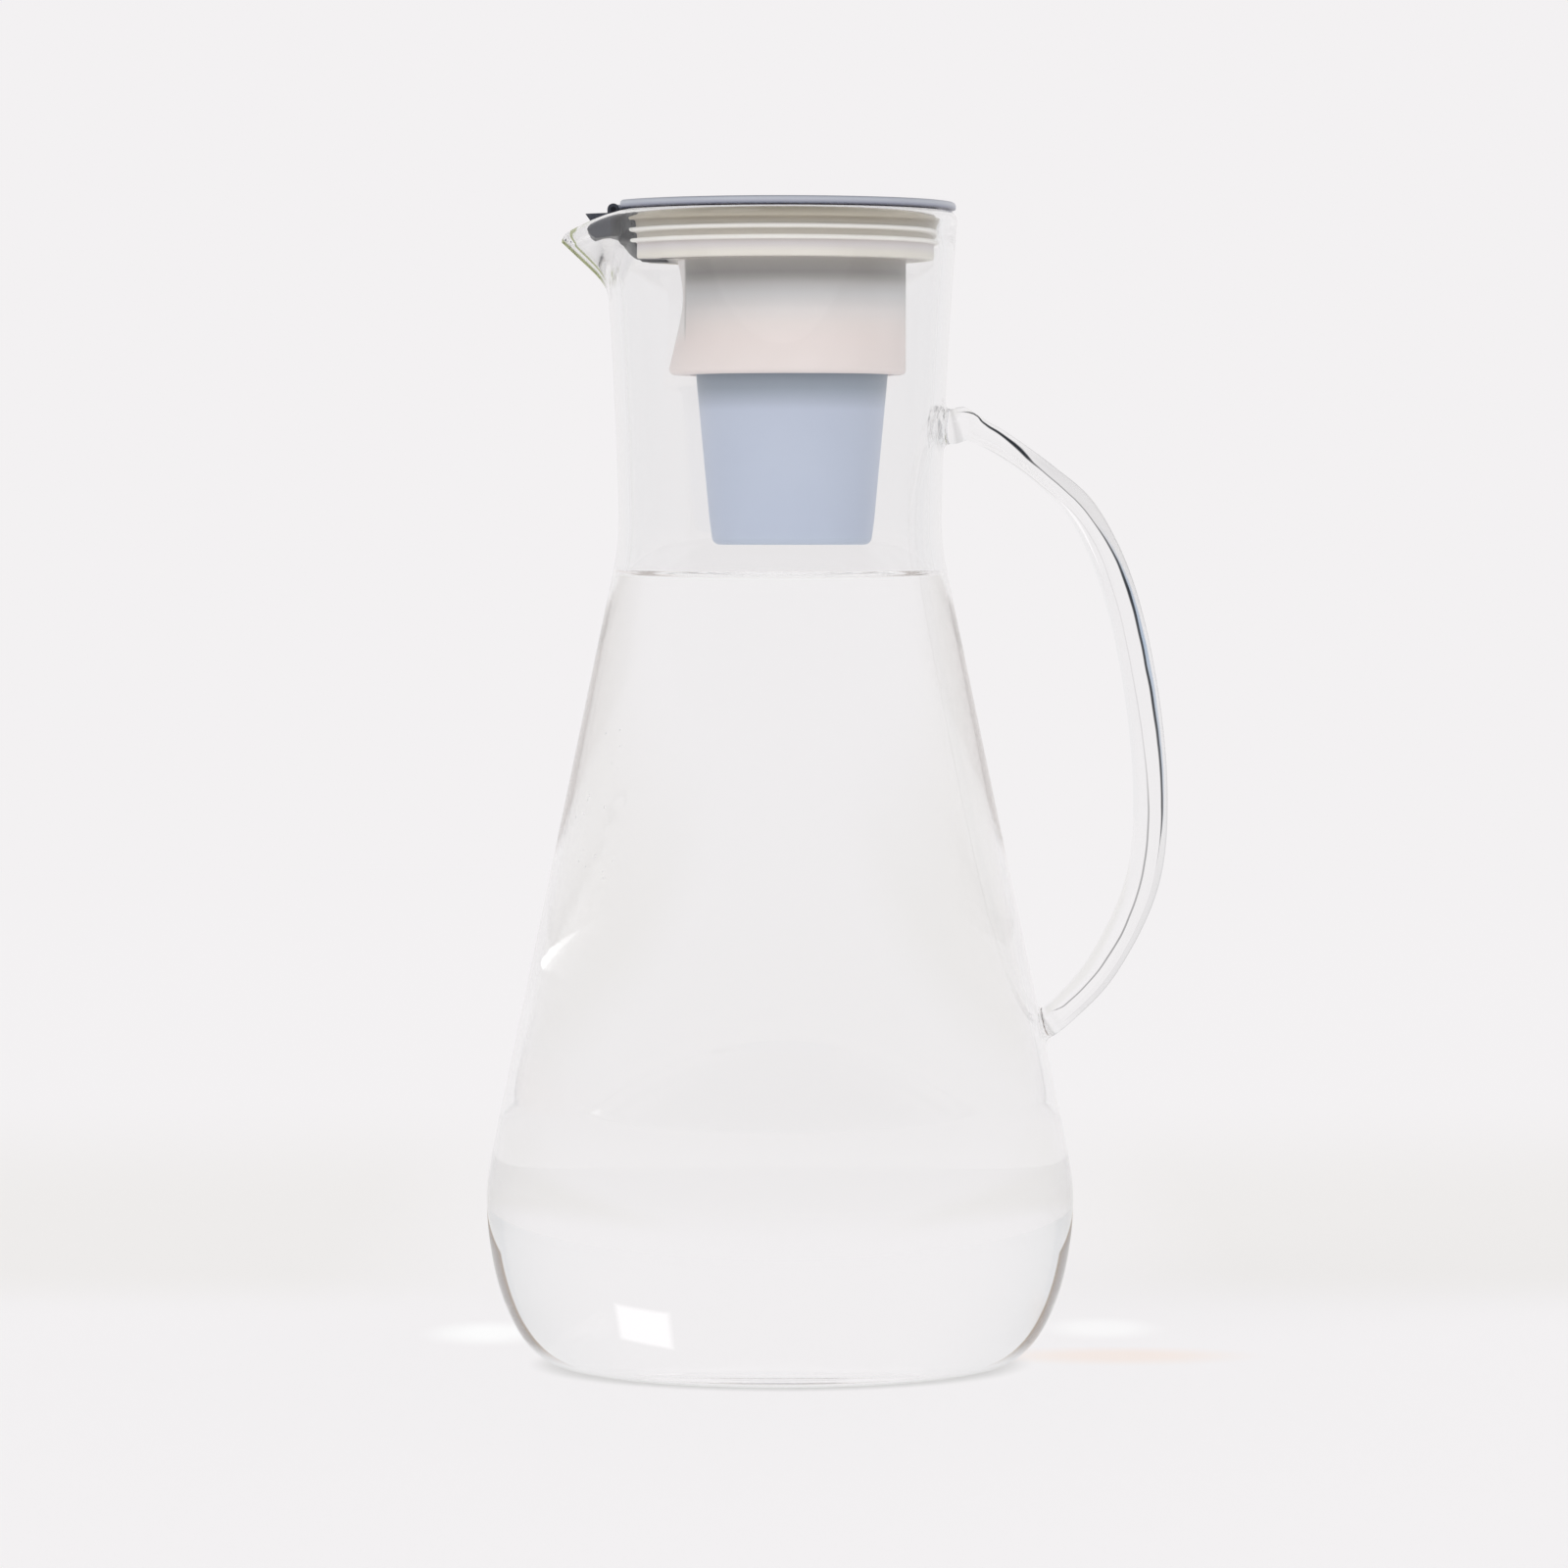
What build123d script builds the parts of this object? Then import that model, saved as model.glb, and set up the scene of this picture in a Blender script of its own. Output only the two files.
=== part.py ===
"""Water filter pitcher: a glass carafe with a plug lid, a flip lid, a filter holder and a filter cartridge.

Millimetres, +Z up. The origin is the centre of the base, on the axis of the neck.
The spout points along -X and the handle along +X. The XZ plane is the plane of symmetry.
"""

import os
from math import atan, cos, degrees, radians, sin, tan

from build123d import *

os.makedirs("parts", exist_ok=True)

# ---------------------------------------------------------------- driving dimensions

# Carafe, outside
BASE_FLAT_R = 45.5
BELLY_R = 61.9
BELLY_BLEND_R = 40.0
CONE_TOP_R = 35.95
CONE_TOP_Z = 163.6
CONE_SLOPE = 0.2094
SHOULDER_Z = 167.6
NECK_R = 34.0
NECK_Z = 179.0
NECK_MID_R = 34.97
NECK_MID_Z = 205.0
RIM_START_R = 36.95
RIM_START_Z = 236.0
RIM_BEAD_Z = 240.6
RIM_Z = 242.8
RIM_OUTER_R = 37.3
RIM_INNER_R = 33.9
RIM_CREST_R = 35.6

# Carafe, glass thickness
GLASS_WALL = 2.7
FLOOR_THICKNESS = 4.6

# Spout: its underside rises along a straight line from the neck to the tip
SPOUT_LOW_Z = 227.5
SPOUT_LOW_REACH = 36.5
SPOUT_LOW_NECK_R = 30.0
SPOUT_RUN_PER_RISE = 1.067
SPOUT_TOP_Z = 246.0
SPOUT_TOP_NECK_R = 36.4
SPOUT_TIP_R = 4.0
SPOUT_TIP_BORE_R = 2.0
SPOUT_WALL = 3.6
SPOUT_DIP_START = (-30.0, 242.8)
SPOUT_DIP_MIDDLE = (-38.4, 241.0)
SPOUT_DIP_END = (-46.6, 237.2)

# Handle: stations along its centre line as (x, z, thickness in the XZ plane, width along Y)
HANDLE_STATIONS = [
    (34.2, 198.4, 7.6, 10.4),
    (39.6, 198.0, 6.8, 10.0),
    (46.8, 194.0, 5.2, 10.0),
    (55.9, 187.4, 5.2, 10.2),
    (64.2, 179.1, 6.2, 10.4),
    (71.2, 163.8, 7.0, 10.6),
    (76.0, 142.8, 7.2, 10.8),
    (78.1, 120.0, 7.3, 10.8),
    (76.3, 101.4, 7.2, 10.6),
    (68.4, 84.6, 6.8, 10.2),
    (59.6, 74.6, 6.2, 10.0),
    (53.0, 70.0, 6.6, 10.0),
]

# Plug lid
PLUG_R = 31.3
PLUG_BOTTOM_Z = 232.5
PLUG_TOP_Z = 243.0
PLUG_WALL = 2.0
CORE_TOP_Z = 238.0
CORE_RIGHT_X = 12.0
BOSS_R = 33.1
BOSS_HALF_WIDTH = 14.4
BOSS_INNER_X = -16.0
BOSS_CORNER = ((-30.2, 232.5), (-32.2, 234.3), (-33.1, 237.8))
POUR_HALF_WIDTH = 6.5
POUR_INNER_X = -23.6
TONGUE_TOP_Z = 242.3
TONGUE_BOTTOM_Z = 237.8
TONGUE_INNER_X = -28.0
TONGUE_OUTLINE = [(TONGUE_INNER_X, 9.6), (-34.0, 9.1), (-38.0, 5.4), (-39.8, 3.8), (-40.9, 2.2)]
TONGUE_PROFILE = [(-37.8, TONGUE_BOTTOM_Z), (-39.6, 239.3), (-39.9, 240.9), (-40.9, TONGUE_TOP_Z)]

# Filter holder and everything in it stand off the neck axis, towards the handle
FILTER_X = 2.5
HOLDER_R = 24.0
HOLDER_BORE_R = 21.4
HOLDER_BOTTOM_Z = 208.5
HOLDER_LIP_CORNER_R = 1.2
HOLDER_FLANGE_R = 26.4
HOLDER_FLANGE_Z = 240.2
HOLDER_TOP_Z = 242.4
HOLDER_WAIST_Z = 223.5
HOLDER_WAIST_R = 23.5
HOLDER_LIP_Z = 210.0
HOLDER_LIP_R = 24.9
HOLDER_STOP_Z = 222.0
HOLDER_STOP_THICKNESS = 1.4
HOLDER_STOP_R = 19.4
HOLDER_RING_WIRE_R = 0.7

# Flip lid and hinge
FLIP_R = 37.0
FLIP_BOTTOM_Z = 243.1
FLIP_TOP_Z = 244.7
FLIP_EDGE_R = 0.7
FLIP_CHORD_X = -33.3
HINGE_X = -34.9
HINGE_Z = 243.0
BARREL_R = 1.25
PIN_R = 0.6
PIN_CLEARANCE = 0.05
KNUCKLE_HALF = 4.6
KNUCKLE_GAP = 0.3
WEB_TOP_Z = 244.1
WEB_OVERLAP = 1.0
LUG_OUTER_Y = 7.4
LUG_FOOT_Z = 241.0
HINGE_POCKET_FLOOR_Z = 241.4
HINGE_POCKET_X = -37.2
HINGE_POCKET_LENGTH = 4.6

# Seal
SEAL_SLEEVE_R = 32.4
SEAL_LIP_R = 33.6
SEAL_FIN_R = 33.5
SEAL_LIP_BOTTOM_Z = 240.5
SEAL_TOP_Z = 242.9
SEAL_FIN_ZS = (238.8, 236.5)
SEAL_FIN_THICKNESS = 0.9
SEAL_GAP_HALF = 14.6
SEAL_HOOK_THICKNESS = 0.4

# Cartridge
CUP_TOP_R = 20.4
CUP_SHOULDER_Z = 211.0
CUP_BOTTOM_R = 16.85
CUP_BOTTOM_Z = 172.7
CUP_CORNER_R = 1.7
CUP_WALL = 1.5
COLLAR_R = 21.3
COLLAR_BOTTOM_Z = 211.9
COLLAR_TOP_Z = 221.8
RING_Z = 215.0
RING_WIRE_R = 0.6
RING_OUTER_R = 21.36
RING_GROOVE_HALF = 0.65
CAP_R = 20.3
CAP_THICKNESS = 2.0
CAP_SLOT_COUNT = 8
CAP_SLOT_LENGTH = 10.0
CAP_SLOT_WIDTH = 2.6
CAP_SLOT_CENTRE_R = 11.5
SCREEN_THICKNESS = 0.4
PAD_THICKNESS = 1.8
MEDIA_GAP = 0.1
OUTLET_HOLE_R = 1.1
OUTLET_RINGS = ((5.0, 4), (10.5, 8))
RIB_HEIGHT = 0.6
RIB_WIDTH = 0.8
RIB_RADII = (2.6, 7.7, 14.0)

# ---------------------------------------------------------------- glass

cone_angle = degrees(atan(CONE_SLOPE))


def draw_glass_outline(wall, floor_z, rim_r):
    """Closed half section of the carafe, set in from the outside surface by the wall."""
    cone_in = wall / cos(radians(cone_angle))
    belly_r = BELLY_R - wall
    flat_r = BASE_FLAT_R - wall
    blend_r = BELLY_BLEND_R - wall
    # the cone's line and the belly's vertical line cross here, before they are blended
    corner_z = CONE_TOP_Z - (belly_r + cone_in - CONE_TOP_R) / CONE_SLOPE
    blend = blend_r * tan(radians(cone_angle / 2))
    belly_z = corner_z - blend
    cone_start = (
        belly_r - blend * sin(radians(cone_angle)),
        corner_z + blend * cos(radians(cone_angle)),
    )
    shoulder = (CONE_TOP_R - cone_in - CONE_SLOPE * (SHOULDER_Z - CONE_TOP_Z), SHOULDER_Z)
    neck = (NECK_R - wall, NECK_Z)
    rim_start = (RIM_START_R - wall, RIM_START_Z)
    Line((0, floor_z), (flat_r, floor_z))
    EllipticalCenterArc(
        (flat_r, belly_z), belly_r - flat_r, belly_z - floor_z, start_angle=270, arc_size=90
    )
    TangentArc((belly_r, belly_z), cone_start, tangent=(0, 1))
    Line(cone_start, shoulder)
    TangentArc(shoulder, neck, tangent=(-CONE_SLOPE, 1.0))
    ThreePointArc(neck, (NECK_MID_R - wall, NECK_MID_Z), rim_start)
    Line(rim_start, (rim_r, RIM_BEAD_Z))
    # the rim is rolled, so both surfaces curve over to the same crest
    TangentArc((rim_r, RIM_BEAD_Z), (RIM_CREST_R, RIM_Z), tangent=(0, 1))
    Line((RIM_CREST_R, RIM_Z), (0, RIM_Z))
    Line((0, RIM_Z), (0, floor_z))


def spout_section(neck_r, reach, tip_r):
    """Hull of the neck's circle and the round tip, drawn in the current sketch."""
    with Locations((0, 0)):
        Circle(neck_r)
    with Locations((tip_r - reach, 0)):
        Circle(tip_r)
    make_hull()


spout_top_reach = SPOUT_LOW_REACH + SPOUT_RUN_PER_RISE * (SPOUT_TOP_Z - SPOUT_LOW_Z)

with BuildPart() as spout_outside:
    with BuildSketch(Plane.XY.offset(SPOUT_LOW_Z)):
        spout_section(SPOUT_LOW_NECK_R, SPOUT_LOW_REACH, SPOUT_TIP_R)
    with BuildSketch(Plane.XY.offset(SPOUT_TOP_Z)):
        spout_section(SPOUT_TOP_NECK_R, spout_top_reach, SPOUT_TIP_R)
    loft(ruled=True)

with BuildPart() as spout_inside:
    with BuildSketch(Plane.XY.offset(SPOUT_LOW_Z)):
        spout_section(SPOUT_LOW_NECK_R - SPOUT_WALL, SPOUT_LOW_REACH - SPOUT_WALL, SPOUT_TIP_BORE_R)
    with BuildSketch(Plane.XY.offset(SPOUT_TOP_Z)):
        spout_section(SPOUT_TOP_NECK_R - SPOUT_WALL, spout_top_reach - SPOUT_WALL, SPOUT_TIP_BORE_R)
    loft(ruled=True)

# Everything above the rim's line, which dips towards the tip of the spout
with BuildPart() as above_rim:
    with BuildSketch(Plane.XZ):
        with BuildLine():
            ThreePointArc(SPOUT_DIP_START, SPOUT_DIP_MIDDLE, SPOUT_DIP_END)
            Polyline(SPOUT_DIP_END, (-70.0, 222.0), (-70.0, 260.0), (60.0, 260.0), (60.0, RIM_Z))
            Line((60.0, RIM_Z), SPOUT_DIP_START)
        make_face()
    extrude(amount=60.0, both=True)

# The carafe as if it were solid glass
with BuildPart() as glass_outside:
    with BuildSketch(Plane.XZ):
        with BuildLine():
            draw_glass_outline(0.0, 0.0, RIM_OUTER_R)
        make_face()
    revolve(axis=Axis.Z)
    add(spout_outside.part)
    add(above_rim.part, mode=Mode.SUBTRACT)

# The space inside it
with BuildPart() as glass_inside:
    with BuildSketch(Plane.XZ):
        with BuildLine():
            draw_glass_outline(GLASS_WALL, FLOOR_THICKNESS, RIM_INNER_R)
        make_face()
    revolve(axis=Axis.Z)
    add(spout_inside.part)

with BuildPart() as glass_carafe:
    add(glass_outside.part)
    add(glass_inside.part, mode=Mode.SUBTRACT)

# The handle is a drawn strap of oval section, trimmed where it is fused to the neck and to the cone
with BuildPart() as glass_handle:
    last = len(HANDLE_STATIONS) - 1
    for index, (x, z, thickness, width) in enumerate(HANDLE_STATIONS):
        before = HANDLE_STATIONS[max(index - 1, 0)]
        after = HANDLE_STATIONS[min(index + 1, last)]
        along = (after[0] - before[0], 0, after[1] - before[1])
        with BuildSketch(Plane(origin=(x, 0, z), x_dir=(0, 1, 0), z_dir=along)):
            Ellipse(width / 2, thickness / 2)
    loft()
    add(glass_outside.part, mode=Mode.SUBTRACT)

# ---------------------------------------------------------------- plug lid

# The beak that lies in the spout: its outline from above, cut to its profile from the side
with BuildPart() as tongue:
    with BuildSketch(Plane.XY.offset(TONGUE_BOTTOM_Z)):
        with BuildLine():
            Polyline(*TONGUE_OUTLINE, *[(x, -y) for x, y in reversed(TONGUE_OUTLINE)], close=True)
        make_face()
    extrude(amount=TONGUE_TOP_Z - TONGUE_BOTTOM_Z)
    with BuildSketch(Plane.XZ):
        with BuildLine():
            Polyline(
                (TONGUE_INNER_X, TONGUE_BOTTOM_Z),
                *TONGUE_PROFILE,
                (TONGUE_INNER_X, TONGUE_TOP_Z),
                close=True,
            )
        make_face()
    extrude(amount=BOSS_R, both=True, mode=Mode.INTERSECT)

# The boss that fills the seal's gap on the spout side, rounded underneath
with BuildPart() as boss:
    with BuildSketch(Plane.XZ):
        with BuildLine():
            ThreePointArc(*BOSS_CORNER)
            Polyline(
                BOSS_CORNER[2],
                (-BOSS_R, TONGUE_TOP_Z),
                (-PLUG_R, TONGUE_TOP_Z),
                (-PLUG_R, PLUG_TOP_Z),
                (0, PLUG_TOP_Z),
                (0, PLUG_BOTTOM_Z),
                BOSS_CORNER[0],
            )
        make_face()
    revolve(axis=Axis.Z)
    with BuildSketch(Plane.XY.offset(PLUG_BOTTOM_Z)):
        with Locations((BOSS_INNER_X, 0)):
            Rectangle(2 * BOSS_R, 2 * BOSS_HALF_WIDTH, align=(Align.MAX, Align.CENTER))
    extrude(amount=PLUG_TOP_Z - PLUG_BOTTOM_Z, mode=Mode.INTERSECT)

# The hollows moulded into the plug from below, between its outer wall and the filter's bore
with BuildPart() as plug_cores:
    with BuildSketch(Plane.XY.offset(PLUG_BOTTOM_Z)):
        Circle(PLUG_R - PLUG_WALL)
        with Locations((FILTER_X, 0)):
            Circle(HOLDER_R + PLUG_WALL, mode=Mode.SUBTRACT)
        with Locations((0, 0)):
            Rectangle(
                2 * PLUG_R, 2 * BOSS_HALF_WIDTH, align=(Align.MAX, Align.CENTER), mode=Mode.SUBTRACT
            )
        with Locations((CORE_RIGHT_X, 0)):
            Rectangle(
                2 * PLUG_R, 2 * PLUG_R, align=(Align.MIN, Align.CENTER), mode=Mode.SUBTRACT
            )
    extrude(amount=CORE_TOP_Z - PLUG_BOTTOM_Z)

with BuildPart() as lid_body:
    with BuildSketch(Plane.XY.offset(PLUG_BOTTOM_Z)):
        Circle(PLUG_R)
    extrude(amount=PLUG_TOP_Z - PLUG_BOTTOM_Z)
    # the outer wall stops short, where the seal hooks under it
    with BuildSketch(Plane.XY.offset(PLUG_BOTTOM_Z)):
        Circle(PLUG_R)
        Circle(PLUG_R - PLUG_WALL, mode=Mode.SUBTRACT)
    extrude(amount=SEAL_HOOK_THICKNESS, mode=Mode.SUBTRACT)
    with BuildSketch(Plane.XY.offset(PLUG_BOTTOM_Z)):
        with Locations((BOSS_INNER_X, 0)):
            Rectangle(2 * BOSS_R, 2 * BOSS_HALF_WIDTH, align=(Align.MAX, Align.CENTER))
    extrude(amount=PLUG_TOP_Z - PLUG_BOTTOM_Z, mode=Mode.SUBTRACT)
    add(boss.part)
    add(tongue.part)
    # the pour channel runs up through the plug and out under the tongue
    with BuildSketch(Plane.XY.offset(PLUG_BOTTOM_Z)):
        with Locations((POUR_INNER_X, 0)):
            Rectangle(BOSS_R, 2 * POUR_HALF_WIDTH, align=(Align.MAX, Align.CENTER))
    extrude(amount=TONGUE_BOTTOM_Z - PLUG_BOTTOM_Z, mode=Mode.SUBTRACT)
    add(plug_cores.part, mode=Mode.SUBTRACT)
    # the bore for the filter holder, the seat of its ring and the seat of its flange
    with BuildSketch(Plane.XY.offset(PLUG_BOTTOM_Z)):
        with Locations((FILTER_X, 0)):
            Circle(HOLDER_R)
    extrude(amount=PLUG_TOP_Z - PLUG_BOTTOM_Z, mode=Mode.SUBTRACT)
    with BuildSketch(Plane.XY.offset(HOLDER_FLANGE_Z - 2 * HOLDER_RING_WIRE_R)):
        with Locations((FILTER_X, 0)):
            Circle(HOLDER_R + 2 * HOLDER_RING_WIRE_R)
    extrude(amount=2 * HOLDER_RING_WIRE_R, mode=Mode.SUBTRACT)
    with BuildSketch(Plane.XY.offset(HOLDER_FLANGE_Z)):
        with Locations((FILTER_X, 0)):
            Circle(HOLDER_FLANGE_R)
    extrude(amount=PLUG_TOP_Z - HOLDER_FLANGE_Z, mode=Mode.SUBTRACT)
    # the hinge: a pocket for the flip lid's knuckle, and a lug on each side of it
    with BuildSketch(Plane.XY.offset(HINGE_POCKET_FLOOR_Z)):
        with Locations((HINGE_POCKET_X, 0)):
            Rectangle(
                HINGE_POCKET_LENGTH, 2 * (KNUCKLE_HALF + KNUCKLE_GAP), align=(Align.MIN, Align.CENTER)
            )
    extrude(amount=PLUG_TOP_Z - HINGE_POCKET_FLOOR_Z, mode=Mode.SUBTRACT)
    lug_width = LUG_OUTER_Y - KNUCKLE_HALF - KNUCKLE_GAP
    for side in (-1, 1):
        with BuildSketch(Plane.XZ.offset(-side * (LUG_OUTER_Y - lug_width / 2))):
            with Locations((HINGE_X, HINGE_Z)):
                Circle(BARREL_R)
            with Locations((HINGE_X, LUG_FOOT_Z)):
                Rectangle(2 * BARREL_R, HINGE_Z - LUG_FOOT_Z, align=(Align.CENTER, Align.MIN))
            with Locations((HINGE_X, HINGE_Z)):
                Circle(PIN_R, mode=Mode.SUBTRACT)
        extrude(amount=lug_width / 2, both=True)

with BuildPart() as hinge_pin:
    with BuildSketch(Plane.XZ):
        with Locations((HINGE_X, HINGE_Z)):
            Circle(PIN_R)
    extrude(amount=LUG_OUTER_Y, both=True)

# Sleeve with a thick top lip, two round-edged fins and a hook under the plug's wall, open across the spout
with BuildPart() as lid_seal:
    with BuildSketch(Plane.XZ):
        with Locations((PLUG_R, PLUG_BOTTOM_Z)):
            Rectangle(SEAL_SLEEVE_R - PLUG_R, SEAL_TOP_Z - PLUG_BOTTOM_Z, align=(Align.MIN, Align.MIN))
        with Locations((PLUG_R - PLUG_WALL, PLUG_BOTTOM_Z)):
            Rectangle(SEAL_SLEEVE_R - PLUG_R + PLUG_WALL, SEAL_HOOK_THICKNESS, align=(Align.MIN, Align.MIN))
        with Locations((PLUG_R, SEAL_LIP_BOTTOM_Z)):
            Rectangle(SEAL_LIP_R - PLUG_R, SEAL_TOP_Z - SEAL_LIP_BOTTOM_Z, align=(Align.MIN, Align.MIN))
        for fin_z in SEAL_FIN_ZS:
            with Locations((PLUG_R, fin_z)):
                Rectangle(
                    SEAL_FIN_R - SEAL_FIN_THICKNESS / 2 - PLUG_R,
                    SEAL_FIN_THICKNESS,
                    align=(Align.MIN, Align.CENTER),
                )
            with Locations((SEAL_FIN_R - SEAL_FIN_THICKNESS / 2, fin_z)):
                Circle(SEAL_FIN_THICKNESS / 2)
    revolve(axis=Axis.Z)
    with BuildSketch(Plane.XY.offset(PLUG_BOTTOM_Z)):
        with Locations((0, 0)):
            Rectangle(2 * SEAL_LIP_R, 2 * SEAL_GAP_HALF, align=(Align.MAX, Align.CENTER))
    extrude(amount=PLUG_TOP_Z - PLUG_BOTTOM_Z, mode=Mode.SUBTRACT)

# ---------------------------------------------------------------- flip lid

with BuildPart() as flip_lid:
    with BuildSketch(Plane.XY.offset(FLIP_BOTTOM_Z)):
        Circle(FLIP_R)
        with Locations((FLIP_CHORD_X, 0)):
            Rectangle(FLIP_R, 2 * FLIP_R, align=(Align.MAX, Align.CENTER), mode=Mode.SUBTRACT)
    extrude(amount=FLIP_TOP_Z - FLIP_BOTTOM_Z)
    fillet(flip_lid.edges().group_by(Axis.Z)[-1], FLIP_EDGE_R)
    # the knuckle stands clear of the disc's straight edge, on a short web
    with BuildSketch(Plane.XZ):
        with Locations((HINGE_X, HINGE_Z)):
            Circle(BARREL_R)
        with Locations((HINGE_X, FLIP_BOTTOM_Z)):
            Rectangle(
                FLIP_CHORD_X - HINGE_X + WEB_OVERLAP,
                WEB_TOP_Z - FLIP_BOTTOM_Z,
                align=(Align.MIN, Align.MIN),
            )
        with Locations((HINGE_X, HINGE_Z)):
            Circle(PIN_R + PIN_CLEARANCE, mode=Mode.SUBTRACT)
    extrude(amount=KNUCKLE_HALF, both=True)

# ---------------------------------------------------------------- filter holder


def holder_section(radius):
    """Circle that keeps the handle side straight while the spout side leans in or out."""
    with Locations((FILTER_X + HOLDER_R - radius, 0)):
        Circle(radius)


with BuildPart() as filter_holder:
    with BuildSketch(Plane.XY.offset(PLUG_BOTTOM_Z)):
        holder_section(HOLDER_R)
    with BuildSketch(Plane.XY.offset(HOLDER_WAIST_Z)):
        holder_section(HOLDER_WAIST_R)
    with BuildSketch(Plane.XY.offset(HOLDER_LIP_Z)):
        holder_section(HOLDER_LIP_R)
    loft()
    with BuildSketch(Plane.XY.offset(HOLDER_BOTTOM_Z)):
        holder_section(HOLDER_LIP_R)
    extrude(amount=HOLDER_LIP_Z - HOLDER_BOTTOM_Z)
    fillet(filter_holder.edges().group_by(Axis.Z)[0], HOLDER_LIP_CORNER_R)
    with BuildSketch(Plane.XY.offset(PLUG_BOTTOM_Z)):
        holder_section(HOLDER_R)
    extrude(amount=HOLDER_TOP_Z - PLUG_BOTTOM_Z)
    with BuildSketch(Plane.XY.offset(HOLDER_FLANGE_Z)):
        with Locations((FILTER_X, 0)):
            Circle(HOLDER_FLANGE_R)
    extrude(amount=HOLDER_TOP_Z - HOLDER_FLANGE_Z)
    # the bore, with the stop that the cartridge is pushed up to
    with BuildSketch(Plane.XY.offset(HOLDER_BOTTOM_Z)):
        with Locations((FILTER_X, 0)):
            Circle(HOLDER_BORE_R)
    extrude(amount=HOLDER_TOP_Z - HOLDER_BOTTOM_Z, mode=Mode.SUBTRACT)
    with BuildSketch(Plane.XY.offset(HOLDER_STOP_Z)):
        with Locations((FILTER_X, 0)):
            Circle((HOLDER_BORE_R + HOLDER_R) / 2 - 0.6)
            Circle(HOLDER_STOP_R, mode=Mode.SUBTRACT)
    extrude(amount=HOLDER_STOP_THICKNESS)


def ring_of_wire(ring_r, wire_r, z):
    """Round ring about the filter's axis, revolved in the current part."""
    with BuildSketch(Plane.XZ) as wire:
        with Locations((FILTER_X + ring_r, z)):
            Circle(wire_r)
    revolve(wire.sketch, axis=Axis((FILTER_X, 0, 0), (0, 0, 1)))


with BuildPart() as holder_seal:
    ring_of_wire(
        HOLDER_R + HOLDER_RING_WIRE_R, HOLDER_RING_WIRE_R, HOLDER_FLANGE_Z - HOLDER_RING_WIRE_R
    )

# ---------------------------------------------------------------- cartridge

cup_taper = (CUP_TOP_R - CUP_BOTTOM_R) / (CUP_SHOULDER_Z - CUP_BOTTOM_Z)
cup_floor_z = CUP_BOTTOM_Z + CUP_WALL
cap_bottom_z = COLLAR_TOP_Z - CAP_THICKNESS
ring_groove_r = RING_OUTER_R - 2 * RING_WIRE_R


def cup_inner_r(z):
    """Inner radius of the tapered cup at a height."""
    return CUP_BOTTOM_R + cup_taper * (z - CUP_BOTTOM_Z) - CUP_WALL


def revolve_about_filter(points):
    """Closed section of (radius, z) points, revolved about the filter's axis in the current part."""
    with BuildSketch(Plane.XZ) as section:
        with BuildLine():
            Polyline(*[(FILTER_X + radius, z) for radius, z in points], close=True)
        make_face()
    revolve(section.sketch, axis=Axis((FILTER_X, 0, 0), (0, 0, 1)))


def fill_cup(bottom_z, top_z):
    """Round slab that fills the cup between two heights."""
    revolve_about_filter(
        [
            (0, bottom_z),
            (cup_inner_r(bottom_z) - MEDIA_GAP, bottom_z),
            (cup_inner_r(top_z) - MEDIA_GAP, top_z),
            (0, top_z),
        ]
    )


with BuildPart() as cartridge_cup:
    revolve_about_filter(
        [
            (0, CUP_BOTTOM_Z),
            (CUP_BOTTOM_R, CUP_BOTTOM_Z),
            (CUP_TOP_R, CUP_SHOULDER_Z),
            (COLLAR_R, COLLAR_BOTTOM_Z),
            (COLLAR_R, RING_Z - RING_GROOVE_HALF),
            (ring_groove_r, RING_Z - RING_GROOVE_HALF),
            (ring_groove_r, RING_Z + RING_GROOVE_HALF),
            (COLLAR_R, RING_Z + RING_GROOVE_HALF),
            (COLLAR_R, COLLAR_TOP_Z),
            (CAP_R, COLLAR_TOP_Z),
            (CAP_R, cap_bottom_z),
            (cup_inner_r(cap_bottom_z), cap_bottom_z),
            (cup_inner_r(cup_floor_z), cup_floor_z),
            (0, cup_floor_z),
        ]
    )
    fillet(cartridge_cup.edges().group_by(Axis.Z)[0], CUP_CORNER_R)
    # ribs on the floor keep the screen off the outlet holes
    with BuildSketch(Plane.XY.offset(cup_floor_z)):
        with Locations((FILTER_X, 0)):
            for rib_r in RIB_RADII:
                Circle(rib_r + RIB_WIDTH)
                Circle(rib_r, mode=Mode.SUBTRACT)
    extrude(amount=RIB_HEIGHT)
    with BuildSketch(Plane.XY.offset(CUP_BOTTOM_Z)):
        with Locations((FILTER_X, 0)):
            Circle(OUTLET_HOLE_R)
            for ring_r, hole_count in OUTLET_RINGS:
                with PolarLocations(ring_r, hole_count):
                    Circle(OUTLET_HOLE_R)
    extrude(amount=CUP_WALL, mode=Mode.SUBTRACT)

with BuildPart() as cartridge_cap:
    with BuildSketch(Plane.XY.offset(cap_bottom_z)):
        with Locations((FILTER_X, 0)):
            Circle(CAP_R)
            with PolarLocations(CAP_SLOT_CENTRE_R, CAP_SLOT_COUNT):
                SlotOverall(CAP_SLOT_LENGTH, CAP_SLOT_WIDTH, mode=Mode.SUBTRACT)
    extrude(amount=CAP_THICKNESS)

with BuildPart() as cartridge_seal:
    ring_of_wire(RING_OUTER_R - RING_WIRE_R, RING_WIRE_R, RING_Z)

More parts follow.
